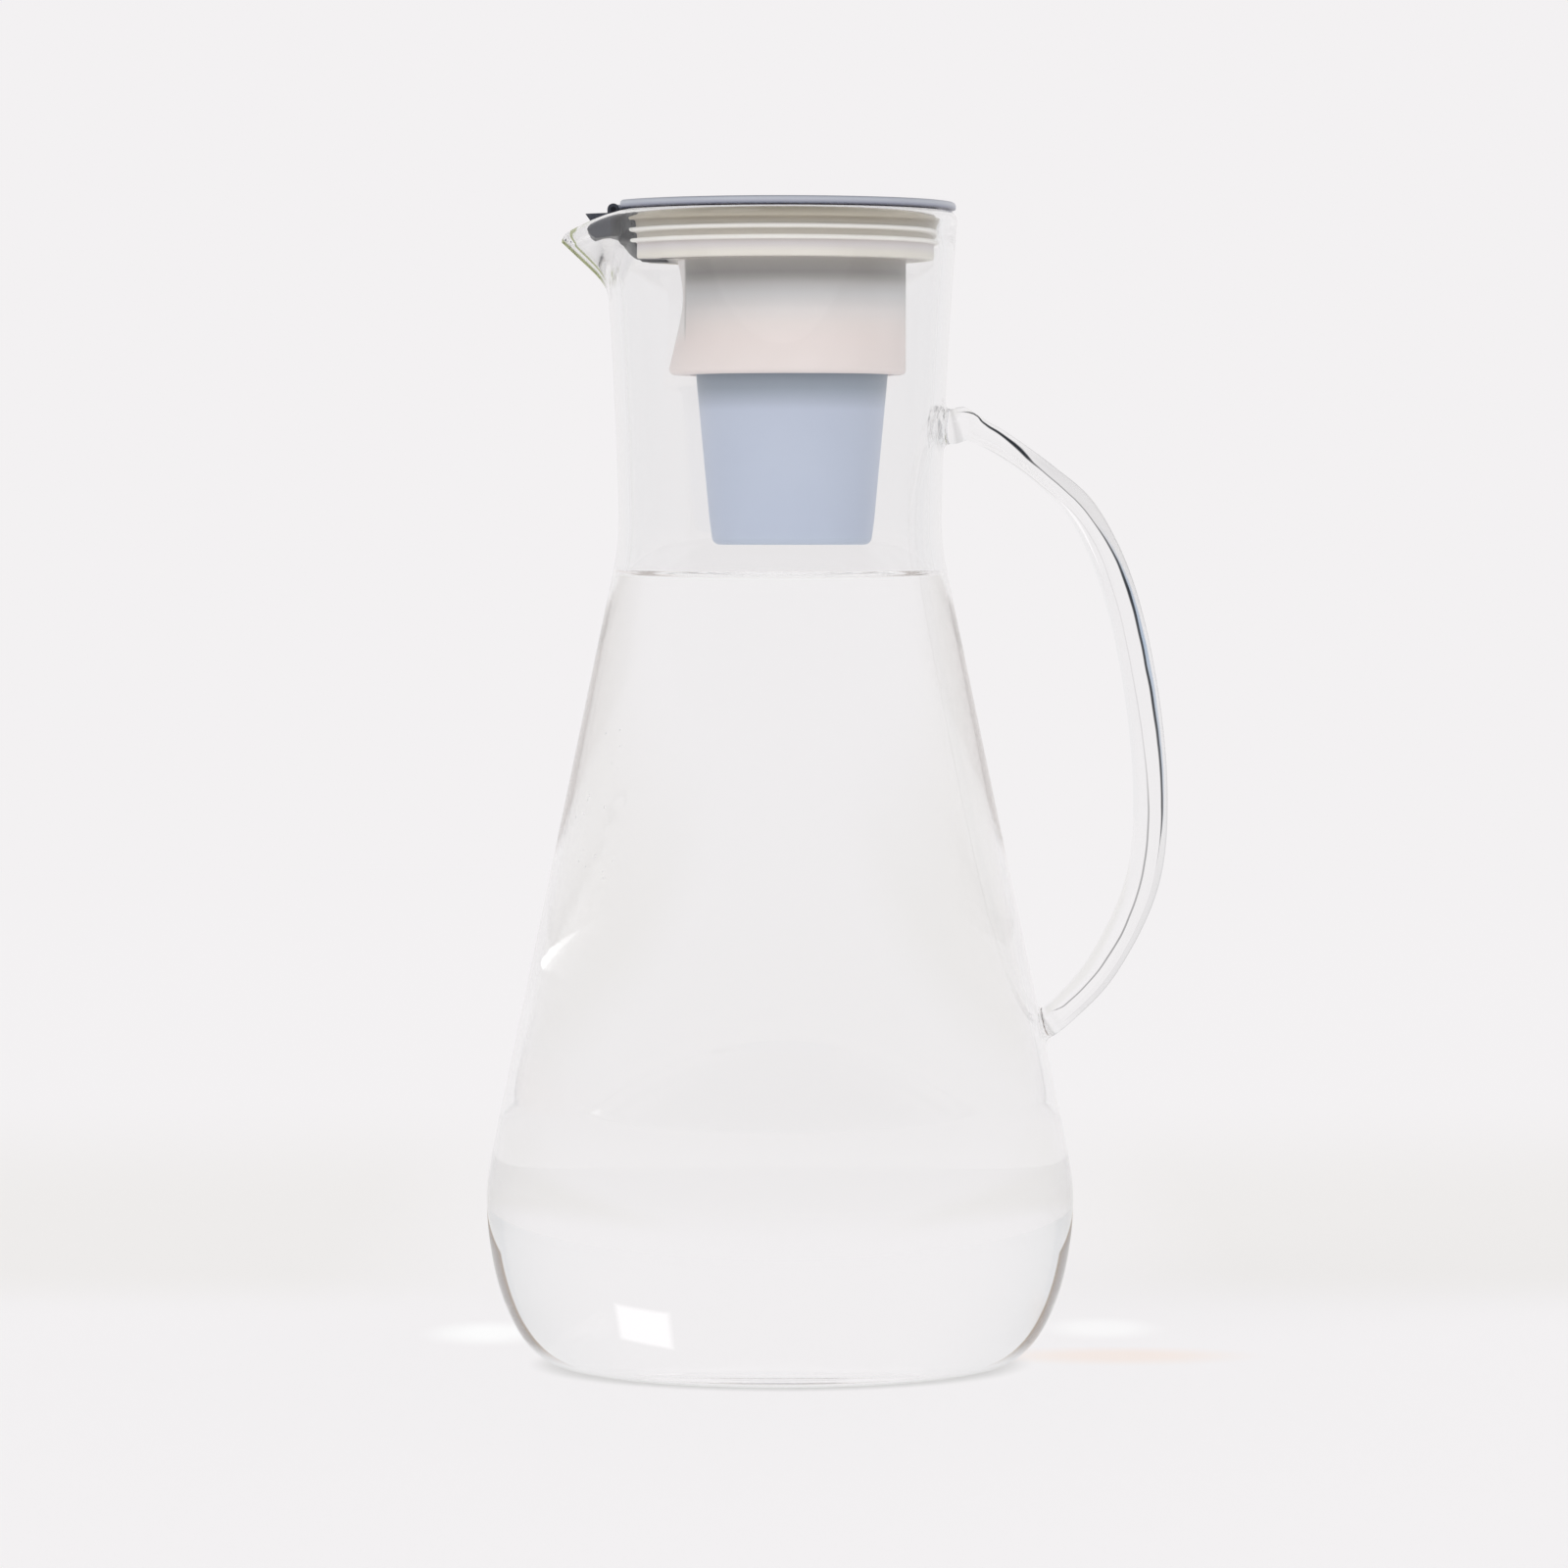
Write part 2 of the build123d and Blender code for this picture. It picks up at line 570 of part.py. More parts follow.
inlet_pad_top_z = cap_bottom_z - SCREEN_THICKNESS
carbon_top_z = inlet_pad_top_z - PAD_THICKNESS
outlet_screen_z = cup_floor_z + RIB_HEIGHT
outlet_pad_z = outlet_screen_z + SCREEN_THICKNESS
carbon_bottom_z = outlet_pad_z + PAD_THICKNESS

with BuildPart() as inlet_screen:
    fill_cup(inlet_pad_top_z, cap_bottom_z)

with BuildPart() as inlet_pad:
    fill_cup(carbon_top_z, inlet_pad_top_z)

with BuildPart() as carbon_bed:
    fill_cup(carbon_bottom_z, carbon_top_z)

with BuildPart() as outlet_pad:
    fill_cup(outlet_pad_z, carbon_bottom_z)

with BuildPart() as outlet_screen:
    fill_cup(outlet_screen_z, outlet_pad_z)

# ---------------------------------------------------------------- labels and files

pieces = {
    "glass_carafe": glass_carafe,
    "glass_handle": glass_handle,
    "lid_body": lid_body,
    "hinge_pin": hinge_pin,
    "lid_seal": lid_seal,
    "flip_lid": flip_lid,
    "filter_holder": filter_holder,
    "holder_seal": holder_seal,
    "cartridge_cup": cartridge_cup,
    "cartridge_cap": cartridge_cap,
    "cartridge_seal": cartridge_seal,
    "inlet_screen": inlet_screen,
    "inlet_pad": inlet_pad,
    "carbon_bed": carbon_bed,
    "outlet_pad": outlet_pad,
    "outlet_screen": outlet_screen,
}
for label, piece in pieces.items():
    piece.part.label = label
    export_step(piece.part, f"parts/{label}.step")
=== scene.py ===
"""Water filter pitcher: a blown glass carafe with a plug lid, a flip lid and a hanging filter cartridge."""

import math
from functools import partial

import bmesh
import bpy
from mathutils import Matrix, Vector


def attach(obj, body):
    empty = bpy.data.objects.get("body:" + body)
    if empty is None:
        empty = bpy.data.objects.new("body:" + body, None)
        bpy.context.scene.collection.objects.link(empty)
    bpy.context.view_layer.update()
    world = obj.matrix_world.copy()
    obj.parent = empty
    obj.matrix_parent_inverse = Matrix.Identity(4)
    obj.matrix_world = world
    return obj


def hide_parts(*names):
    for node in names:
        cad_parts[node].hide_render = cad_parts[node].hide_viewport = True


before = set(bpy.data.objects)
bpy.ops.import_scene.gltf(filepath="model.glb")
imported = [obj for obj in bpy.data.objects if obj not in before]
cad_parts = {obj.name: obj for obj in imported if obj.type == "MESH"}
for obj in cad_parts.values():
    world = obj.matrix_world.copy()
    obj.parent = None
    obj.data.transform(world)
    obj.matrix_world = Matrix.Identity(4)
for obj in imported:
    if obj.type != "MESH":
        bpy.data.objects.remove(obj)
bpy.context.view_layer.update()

MM = 0.001

# ---------------------------------------------------------------- dimensions, in millimetres

BASE_FLAT_R = 45.5
BELLY_R = 61.9
BELLY_BLEND_R = 40.0
CONE_TOP = (35.95, 163.6)
CONE_SLOPE = 0.2094
SHOULDER_Z = 167.6
NECK = (34.0, 179.0)
NECK_MID = (34.97, 205.0)
RIM_START = (36.95, 236.0)
RIM_BEAD = 2.2
RIM_Z = 242.8
GLASS_WALL = 2.7
FLOOR_THICKNESS = 4.6
# below this height the wall curves in under the body
BOWL_Z = 36.0
SPOUT_FROM_Z = 212.0
# the outside of the spout's lip leans out from this foot, as (reach, z), by this much reach per height
SPOUT_FOOT = (36.5, 227.5)
SPOUT_LEAN = 1.067
WATER_Z = 165.3
MENISCUS_RISE = 1.8
MENISCUS_REACH = 1.9

# centre line of the strap from its upper to its lower end, as (x, z, thickness, width along Y)
HANDLE_STATIONS = [
    (34.2, 197.2, 7.2, 10.4), (36.6, 197.5, 7.4, 10.4), (38.2, 198.0, 7.8, 10.4),
    (39.5, 198.1, 7.5, 10.2), (40.2, 197.9, 6.9, 10.1), (41.0, 197.2, 5.9, 10.0),
    (42.8, 196.2, 5.4, 10.0), (46.8, 194.0, 5.2, 10.0), (55.9, 187.4, 5.2, 10.2),
    (64.2, 179.1, 6.2, 10.4), (71.2, 163.8, 7.0, 10.6), (76.0, 142.8, 7.2, 10.8),
    (78.1, 120.0, 7.3, 10.8), (76.3, 101.4, 7.2, 10.6), (68.4, 84.6, 6.8, 10.2),
    (59.6, 74.6, 6.2, 10.0), (53.0, 70.0, 6.6, 10.0),
]
# the strap's ends sink this far into the wall, and the whole strap lies beyond this x and within this y
STRAP_SINK = 1.3
STRAP_FROM_X = 30.0
STRAP_HALF_Y = 9.0

# axis of the cartridge, off the carafe's own
FILTER_X = 2.5
# the flip lid's disc is cut straight at the hinge, whose pin is at this (x, z)
FLIP_LID_R = 37.0
HINGE_EDGE_X = -33.3
HINGE = (-34.9, 243.0)

PLUG_R = 31.3
SEAL_FOOT_Z = 232.5
SEAL_GAP_HALF = 14.6
SEAL_GAP_ANGLE = 2 * math.asin(SEAL_GAP_HALF / (PLUG_R + 1.7))

# ---------------------------------------------------------------- small tools


def linear(hex_colour):
    """sRGB hex to the linear colour that a shader takes."""
    channels = [int(hex_colour[i : i + 2], 16) / 255 for i in (1, 3, 5)]
    return [c / 12.92 if c <= 0.04045 else ((c + 0.055) / 1.055) ** 2.4 for c in channels] + [1.0]


def add_node(tree, kind, links=None, **settings):
    """One node with its settings. links takes an input's name or number to a value, a socket or a node.

    A kind without Node in its name is a shader node's. A node stands for its first output in use.
    """
    made = tree.nodes.new(kind if "Node" in kind else "ShaderNode" + kind)
    for key, value in settings.items():
        setattr(made, key, value)
    for key, value in (links or {}).items():
        if isinstance(value, bpy.types.Node):
            value = next(output for output in value.outputs if output.enabled)
        if isinstance(value, bpy.types.NodeSocket):
            tree.links.new(value, made.inputs[key])
        else:
            made.inputs[key].default_value = value
    return made


def fill_ramp(ramp, stops):
    """Gives a colour ramp its stops, as (position, linear colour) from low to high."""
    elements = ramp.color_ramp.elements
    for index, (at, colour) in enumerate(stops):
        stop = elements[index] if index < 2 else elements.new(at)
        stop.position = at
        stop.color = colour


def grey(level):
    """The colour of a grey level."""
    return (level, level, level, 1.0)


def start_material(name):
    """An empty material, and add_node for its tree."""
    material = bpy.data.materials.new(name)
    material.use_nodes = True
    material.node_tree.nodes.clear()
    return material, partial(add_node, material.node_tree)


def make_object(name, vertices, faces, materials, smooth=True):
    """A mesh in millimetres, its normals turned outwards, linked to the scene."""
    mesh = bpy.data.meshes.new(name)
    mesh.from_pydata([tuple(c * MM for c in v) for v in vertices], [], faces)
    for material in materials:
        mesh.materials.append(material)
    shape = bmesh.new()
    shape.from_mesh(mesh)
    bmesh.ops.recalc_face_normals(shape, faces=shape.faces)
    shape.to_mesh(mesh)
    shape.free()
    mesh.polygons.foreach_set("use_smooth", [smooth] * len(mesh.polygons))
    made = bpy.data.objects.new(name, mesh)
    bpy.context.scene.collection.objects.link(made)
    return made


def make_plain(piece):
    """Turns what the piece's modifiers make into its own mesh."""
    depsgraph = bpy.context.evaluated_depsgraph_get()
    mesh = bpy.data.meshes.new_from_object(piece.evaluated_get(depsgraph))
    piece.modifiers.clear()
    piece.data = mesh


def grid_faces(rows, columns):
    """Quads of a grid whose columns close on themselves."""
    faces = []
    for start in range(0, (rows - 1) * columns, columns):
        for c in range(columns):
            a, b = start + c, start + (c + 1) % columns
            faces.append((a, b, b + columns, a + columns))
    return faces


def circle(radius, z, steps, centre_x=0.0):
    """Points of a level circle."""
    angles = [2 * math.pi * s / steps for s in range(steps)]
    return [(centre_x + radius * math.cos(a), radius * math.sin(a), z) for a in angles]


def turn(name, outline, material, centre_x=0.0, steps=160):
    """A closed body of revolution. The outline runs from the axis at one end to the axis at the other."""
    inner = outline[1:-1]
    vertices = [v for r, z in inner for v in circle(r, z, steps, centre_x)]
    faces = grid_faces(len(inner), steps)
    first, last = len(vertices), len(vertices) + 1
    vertices += [(centre_x, 0, outline[0][1]), (centre_x, 0, outline[-1][1])]
    top = (len(inner) - 1) * steps
    faces += [(first, (s + 1) % steps, s) for s in range(steps)]
    faces += [(last, top + s, top + (s + 1) % steps) for s in range(steps)]
    return make_object(name, vertices, faces, [material])


def arc_points(centre, radius, start, end, count):
    """Points on an arc, angles in radians."""
    angles = [start + (end - start) * i / count for i in range(count + 1)]
    return [(centre[0] + radius * math.cos(a), centre[1] + radius * math.sin(a)) for a in angles]


def arc_from_tangent(start, tangent, end, count):
    """Points of the arc that leaves start along the tangent and ends at end."""
    length = math.hypot(*tangent)
    normal = (-tangent[1] / length, tangent[0] / length)
    dx, dz = end[0] - start[0], end[1] - start[1]
    radius = (dx * dx + dz * dz) / (2 * (dx * normal[0] + dz * normal[1]))
    centre = (start[0] + normal[0] * radius, start[1] + normal[1] * radius)
    a = math.atan2(start[1] - centre[1], start[0] - centre[0])
    b = math.atan2(end[1] - centre[1], end[0] - centre[0])
    b = a + math.remainder(b - a, 2 * math.pi)
    return arc_points(centre, abs(radius), a, b, count)


def arc_through(start, middle, end, count):
    """Points of the arc through three points."""
    (ax, ay), (bx, by), (cx, cy) = start, middle, end
    d = 2 * (ax * (by - cy) + bx * (cy - ay) + cx * (ay - by))
    sa, sb, sc = ax * ax + ay * ay, bx * bx + by * by, cx * cx + cy * cy
    centre = (
        (sa * (by - cy) + sb * (cy - ay) + sc * (ay - by)) / d,
        (sa * (cx - bx) + sb * (ax - cx) + sc * (bx - ax)) / d,
    )
    a = math.atan2(ay - centre[1], ax - centre[0])
    b = math.atan2(cy - centre[1], cx - centre[0])
    b = a + math.remainder(b - a, 2 * math.pi)
    return arc_points(centre, math.hypot(ax - centre[0], ay - centre[1]), a, b, count)


def start_group(name, settings):
    """A Geometry Nodes tree, its sockets' identifiers and add_node for it.

    settings are its inputs, as (name, socket type, default).
    """
    tree = bpy.data.node_groups.new(name, "GeometryNodeTree")
    tree.interface.new_socket("Geometry", in_out="INPUT", socket_type="NodeSocketGeometry")
    sockets = {}
    for label, kind, value in settings:
        socket = tree.interface.new_socket(label, in_out="INPUT", socket_type=kind)
        if value is not None:
            socket.default_value = value
        sockets[label] = socket.identifier
    tree.interface.new_socket("Geometry", in_out="OUTPUT", socket_type="NodeSocketGeometry")
    return tree, sockets, partial(add_node, tree)


def run_group(piece, tree, sockets, values):
    """Runs a tree on the piece with these values and keeps the mesh that comes out."""
    modifier = piece.modifiers.new(tree.name, "NODES")
    modifier.node_group = tree
    for label, value in values.items():
        modifier[sockets[label]] = value
    make_plain(piece)


def blend_max(a, b, width):
    """The larger of two lengths, rounded where they are nearly equal."""
    near = max(width - abs(a - b), 0) / width
    return max(a, b) + near * near * width / 4


def spread(points, step):
    """Points at an even spacing along a polyline, its ends kept."""
    lengths = [0.0]
    for p, q in zip(points, points[1:]):
        lengths.append(lengths[-1] + math.dist(p, q))
    count = max(1, round(lengths[-1] / step))
    made, k = [], 0
    for i in range(count + 1):
        wanted = lengths[-1] * i / count
        while k < len(points) - 2 and lengths[k + 1] < wanted:
            k += 1
        run = lengths[k + 1] - lengths[k]
        f = (wanted - lengths[k]) / run if run else 0
        made.append(tuple(a + (b - a) * f for a, b in zip(points[k], points[k + 1])))
    return made


# ---------------------------------------------------------------- glass shape


def wall_outline(wall, floor_z):
    """(radius, z) from the axis at the base to the foot of the rim, set in from the outside by the wall."""
    angle = math.atan(CONE_SLOPE)
    cone_in = wall / math.cos(angle)
    belly_r, flat_r, blend_r = BELLY_R - wall, BASE_FLAT_R - wall, BELLY_BLEND_R - wall
    corner_z = CONE_TOP[1] - (belly_r + cone_in - CONE_TOP[0]) / CONE_SLOPE
    belly_z = corner_z - blend_r * math.tan(angle / 2)
    shoulder = (CONE_TOP[0] - cone_in - CONE_SLOPE * (SHOULDER_Z - CONE_TOP[1]), SHOULDER_Z)
    neck = (NECK[0] - wall, NECK[1])
    rim = (RIM_START[0] - wall, RIM_START[1])
    points = [(0.0, floor_z), (flat_r * 0.5, floor_z), (flat_r * 0.85, floor_z)]
    bowl_steps = 52
    for i in range(bowl_steps + 1):
        t = math.pi / 2 * i / bowl_steps
        radius = flat_r + (belly_r - flat_r) * math.sin(t)
        points.append((radius, belly_z - (belly_z - floor_z) * math.cos(t)))
    points += arc_points((belly_r - blend_r, belly_z), blend_r, 0, angle, 16)[1:]
    start = points[-1]
    points += [tuple(a + (b - a) * i / 30 for a, b in zip(start, shoulder)) for i in range(1, 31)]
    points += arc_from_tangent(shoulder, (-CONE_SLOPE, 1.0), neck, 9)[1:]
    points += arc_through(neck, (NECK_MID[0] - wall, NECK_MID[1]), rim, 60)[1:]
    points.append((rim[0] + (0.35 if wall == 0 else -0.35), RIM_Z - RIM_BEAD))
    return points


OUTER = wall_outline(0.0, 0.0)
INNER = wall_outline(GLASS_WALL, FLOOR_THICKNESS)


def radius_at(outline, z):
    """Radius of an outline above its belly."""
    best = outline[-1][0]
    for (r0, z0), (r1, z1) in zip(outline, outline[1:]):
        if z0 <= z <= z1 and z1 > z0:
            best = r0 + (r1 - r0) * (z - z0) / (z1 - z0)
    return best


def spout_radius(phi, z, inset, tip_r):
    """Distance from the axis to the hull of the neck's circle and the spout's round tip."""
    above = z - SPOUT_FOOT[1]
    # the hull's circle is 30 mm at the foot and 6.4 mm wider 18.5 mm above it
    neck_r = 30.0 - inset + 6.4 * (above / 18.5)
    reach = SPOUT_FOOT[0] - inset + SPOUT_LEAN * above
    tip_x = reach - tip_r
    lean = (neck_r - tip_r) / tip_x if tip_x > 0 else 1.0
    if lean >= 1.0:
        return neck_r
    side = math.sqrt(1 - lean * lean)
    if phi > math.acos(lean):
        return neck_r
    if phi < math.atan2(tip_r * side, tip_x + tip_r * lean):
        return tip_x * math.cos(phi) + math.sqrt(max(tip_r**2 - (tip_x * math.sin(phi)) ** 2, 0.0))
    return neck_r / (lean * math.cos(phi) + side * math.sin(phi))


def glass_radius(outline, phi, z, inset, tip_r):
    """Radius of one glass surface, the pulled spout included. phi is measured from the spout."""
    plain = radius_at(outline, z)
    if z < SPOUT_FROM_Z + 6.0 or phi > math.radians(75):
        return plain
    return blend_max(plain, spout_radius(phi, z, inset, tip_r), 3.0)


def outer_radius(phi, z):
    """Radius of the glass's outside, with a 4 mm round tip at the spout."""
    return glass_radius(OUTER, phi, z, 0.0, 4.0)


def inner_radius(phi, z):
    """Radius of the glass's inside. The lip is thicker than the wall: 3.6 mm, with a 2 mm round tip."""
    return glass_radius(INNER, phi, z, 3.6, 2.0)


def rim_height(phi):
    """Height of the rim's crest, which dips towards the tip of the spout."""
    z = RIM_Z
    for _ in range(14):
        middle = (outer_radius(phi, z - RIM_BEAD) + inner_radius(phi, z - RIM_BEAD)) / 2
        beyond = middle * math.cos(phi) - 30.0
        z = RIM_Z - (0.0519 * beyond**1.667 if beyond > 0 else 0.0)
    return z


def rows_below(outline, splits):
    """The outline up to where the spout starts, with a finer spacing near the heights in splits."""
    low = [p for p in outline if p[1] <= 60.0]
    high = [p for p in outline if 60.0 < p[1]] + [(radius_at(outline, SPOUT_FROM_Z), SPOUT_FROM_Z)]
    heights, z = [], 61.0
    while z < SPOUT_FROM_Z - 0.6:
        heights.append(z)
        z += 1.2 if any(a < z < b for a, b in splits) else 3.4
    heights += [WATER_Z + MENISCUS_RISE, SPOUT_FROM_Z]
    heights = sorted(heights)
    heights = [h for i, h in enumerate(heights) if i == 0 or h - heights[i - 1] > 0.3]
    return low + [(radius_at([low[-1]] + high, h), h) for h in heights]


def from_spout(r, angle, z):
    """The point at an angle round the axis from the spout, which lies towards -X."""
    return (-r * math.cos(angle), -r * math.sin(angle), z)


def build_glass(materials):
    """The carafe as one closed wall: up the outside, over the rim and down the inside."""
    # degrees from the spout, closer together at the spout and at the handle
    half = [0.6 * i for i in range(34)] + [19.8 + 1.6 * i for i in range(1, 93)]
    half += [167.0 + 13.0 * i / 14 for i in range(15)]
    angles = half + [-a for a in reversed(half[1:-1])]
    joint_heights = [(60.0, 86.0), (160.0, 170.0), (188.0, 208.0)]
    outside = rows_below(OUTER, joint_heights)[1:]
    inside = rows_below(INNER, [(160.0, 170.0)])[1:]
    top_rows, bead_rows = 22, 12
    columns = []
    for angle in map(math.radians, angles):
        phi = abs(angle)
        z_foot = rim_height(phi) - RIM_BEAD
        column = list(outside)
        lift = [SPOUT_FROM_Z + (z_foot - SPOUT_FROM_Z) * i / top_rows for i in range(1, top_rows + 1)]
        column += [(outer_radius(phi, z), z) for z in lift]
        r_out, r_in = column[-1][0], inner_radius(phi, z_foot)
        middle, half_wall = (r_out + r_in) / 2, (r_out - r_in) / 2
        for k in range(1, bead_rows):
            t = math.pi * k / bead_rows
            column.append((middle + half_wall * math.cos(t), z_foot + RIM_BEAD * math.sin(t)))
        column += [(inner_radius(phi, z), z) for z in reversed(lift)]
        column += list(reversed(inside))
        columns.append([from_spout(r, angle, z) for r, z in column])
    rows, count = len(columns[0]), len(columns)
    vertices = [columns[c][r] for r in range(rows) for c in range(count)]
    faces = grid_faces(rows, count)
    under, over = len(vertices), len(vertices) + 1
    vertices += [(0, 0, 0), (0, 0, FLOOR_THICKNESS)]
    last = (rows - 1) * count
    faces += [(under, (c + 1) % count, c) for c in range(count)]
    faces += [(over, last + c, last + (c + 1) % count) for c in range(count)]
    return make_object("carafe_glass", vertices, faces, materials)


def smooth_track(stations, count):
    """Points of a smooth curve through the stations, every value eased alike."""

    def eased(a, b, c, d, t):
        square, cube = 2 * a - 5 * b + 4 * c - d, 3 * b - a - 3 * c + d
        return 0.5 * (2 * b + (c - a) * t + square * t * t + cube * t**3)

    made = []
    last = len(stations) - 1
    for i in range(last):
        around = [stations[min(max(i + k, 0), last)] for k in (-1, 0, 1, 2)]
        made += [tuple(eased(*four, j / count) for four in zip(*around)) for j in range(count)]
    made.append(stations[-1])
    return made


def build_handle(materials):
    """The drawn strap: oval rings along its centre line, swollen where its upper end is pressed on."""
    track = spread(smooth_track(HANDLE_STATIONS, 24), 0.8)
    kept = [p for p in track if p[0] - radius_at(OUTER, p[1]) > -STRAP_SINK]
    around = 40
    vertices = []
    for i, (x, z, thickness, width) in enumerate(kept):
        before, after = kept[max(i - 1, 0)], kept[min(i + 1, len(kept) - 1)]
        along = Vector((after[0] - before[0], after[1] - before[1])).normalized()
        across = Vector((-along.y, along.x))
        for k in range(around):
            t = 2 * math.pi * k / around
            side = width / 2 * math.sin(t)
            out = thickness / 2 * math.cos(t)
            px, pz = x + across.x * out, z + across.y * out
            floor_r = radius_at(OUTER, pz) - STRAP_SINK
            here = math.hypot(px, side)
            if here < floor_r:
                px, side = px * floor_r / here, side * floor_r / here
            vertices.append((px, side, pz))
    rows = len(kept)
    faces = grid_faces(rows, around)
    faces += [tuple(range(around)), tuple(range((rows - 1) * around, rows * around))]
    return make_object("strap", vertices, faces, materials)


def fuse(body, part):
    """Joins the part to the body as one solid and rounds the seam where they meet."""
    joined = body.modifiers.new("fuse", "BOOLEAN")
    joined.operation = "UNION"
    joined.solver = "EXACT"
    joined.object = part
    make_plain(body)
    bpy.data.objects.remove(part)
    shape = bmesh.new()
    shape.from_mesh(body.data)
    bmesh.ops.triangulate(shape, faces=[f for f in shape.faces if len(f.verts) > 4])
    sharp = [e.verts for e in shape.edges if len(e.link_faces) == 2 and e.calc_face_angle(0) > 0.35]
    from_x, half_y = STRAP_FROM_X * MM, STRAP_HALF_Y * MM
    beside = [v for v in shape.verts if v.co.x > from_x]
    seam = [ends for ends in sharp if ends[0].co.x > from_x and abs(ends[0].co.y) < half_y]
    middles = [(a.co + b.co) / 2 for a, b in seam]
    axes = {"use_axis_" + axis: True for axis in "xyz"}
    for reach in (2.2 * MM, 1.2 * MM):
        near = [v for v in beside if any((v.co - m).length < reach for m in middles)]
        for _ in range(10):
            bmesh.ops.smooth_vert(shape, verts=near, factor=0.5, **axes)
    bmesh.ops.recalc_face_normals(shape, faces=shape.faces)
    shape.to_mesh(body.data)
    shape.free()
    body.data.polygons.foreach_set("use_smooth", [True] * len(body.data.polygons))


# ---------------------------------------------------------------- materials


def streak(node, along, across, stops):
    """How strong a painted line of shade or of glint is at a place on the strap. stops are (along, centre mm,
    half width mm, darkness).
    """
    # the ramp carries the centre within this reach as its red, the half width as its green
    reach = 8.0
    path = node("ValToRGB", {0: along})
    fill_ramp(path, [(at, (centre / reach + 0.5, half, dark, 1.0)) for at, centre, half, dark in stops])
    parts = node("SeparateColor", {0: path})
    centre = node("MapRange", {0: parts.outputs["Red"], 3: -reach / 2, 4: reach / 2})
    off = node("Math", {0: across, 1: centre}, operation="SUBTRACT")
    size = node("Math", {0: off}, operation="ABSOLUTE")
    share = node("Math", {0: size, 1: parts.outputs["Green"]}, operation="DIVIDE")
    line = node("MapRange", {0: share, 1: 1.25, 2: 0.45}, interpolation_type="SMOOTHSTEP")
    dark = node("Math", {0: line, 1: parts.outputs["Blue"]}, operation="MULTIPLY")
    return dark, off


# painted shade: dark lines along the drawn strap, as (along, centre mm, half width mm, darkness)
OUTER_PAINTED_LINE = [
    (0.026, 2.8, 0.1, 0.0), (0.033, 2.55, 0.14, 0.88), (0.045, 2.1, 0.2, 0.93),
    (0.06, 1.72, 0.28, 0.95), (0.085, 1.42, 0.36, 0.97), (0.1, 1.22, 0.46, 0.97),
    (0.112, 0.98, 0.52, 0.97), (0.124, 0.6, 0.44, 0.96), (0.136, 0.28, 0.22, 0.8),
    (0.15, 0.2, 0.14, 0.66), (0.2, 0.07, 0.13, 0.62), (0.225, 0.33, 0.13, 0.66),
    (0.25, 0.67, 0.14, 0.68), (0.28, 1.17, 0.22, 0.8), (0.31, 1.55, 0.28, 0.88),
    (0.35, 1.74, 0.4, 0.94), (0.4, 1.68, 0.33, 0.9), (0.45, 1.7, 0.31, 0.92),
    (0.5, 1.87, 0.35, 0.92), (0.55, 2.08, 0.33, 0.86), (0.6, 2.2, 0.29, 0.84),
    (0.64, 2.28, 0.28, 0.84), (0.67, 2.2, 0.18, 0.8), (0.692, 2.05, 0.08, 0.5),
    (0.72, 1.97, 0.1, 0.1), (0.85, 2.15, 0.12, 0.1), (0.95, 1.7, 0.12, 0.1), (0.96, 1.7, 0.1, 0.0),
]
# painted shade: a fainter dark line on the strap's inner side, in the same columns
INNER_PAINTED_LINE = [
    (0.03, -3.3, 0.1, 0.0), (0.045, -3.1, 0.12, 0.12), (0.07, -2.6, 0.14, 0.12),
    (0.1, -2.3, 0.14, 0.12), (0.2, -2.2, 0.14, 0.1), (0.23, -1.75, 0.14, 0.1),
    (0.28, -1.25, 0.14, 0.1), (0.4, -1.4, 0.14, 0.1), (0.45, -1.5, 0.14, 0.12),
    (0.55, -1.17, 0.16, 0.18), (0.6, -0.87, 0.18, 0.28), (0.64, -0.62, 0.2, 0.46),
    (0.7, -0.67, 0.22, 0.52), (0.76, -0.52, 0.22, 0.5), (0.82, -0.12, 0.22, 0.56),
    (0.85, -0.25, 0.2, 0.56), (0.9, -0.58, 0.17, 0.52), (0.944, -0.78, 0.16, 0.5),
    (0.955, -1.3, 0.14, 0.4), (0.96, -1.6, 0.1, 0.0),
]
# a painted bluish glint along the strap, in the same columns
BLUE_PAINTED_GLINT = [
    (0.25, 1.2, 0.3, 0.0), (0.34, 2.05, 0.45, 0.4), (0.42, 2.2, 0.5, 0.55), (0.5, 2.35, 0.42, 0.4),
    (0.6, 2.5, 0.35, 0.3), (0.68, 2.5, 0.3, 0.0),
]
# painted shade: how grey the strip between the outer line and the edge looks, as (along, greyness)
OUTER_PAINTED_GREY = [
    (0.1, 0.0), (0.15, 0.13), (0.33, 0.14), (0.42, 0.05), (0.66, 0.05), (0.74, 0.09), (0.93, 0.09),
    (0.96, 0.0),
]
# painted shade: fine grey lines across the strap near both its ends, where it joins the wall, as (along,
# greyness)
END_PAINTED_LINES = [
    (0.004, 0.0), (0.006, 0.26), (0.0075, 0.02), (0.0135, 0.03), (0.0148, 0.34), (0.0165, 0.02),
    (0.0185, 0.02), (0.0198, 0.16), (0.021, 0.0), (0.957, 0.0), (0.959, 0.32), (0.961, 0.02),
    (0.9655, 0.03), (0.967, 0.2), (0.9685, 0.0), (0.9745, 0.02), (0.976, 0.26), (0.98, 0.0),
]


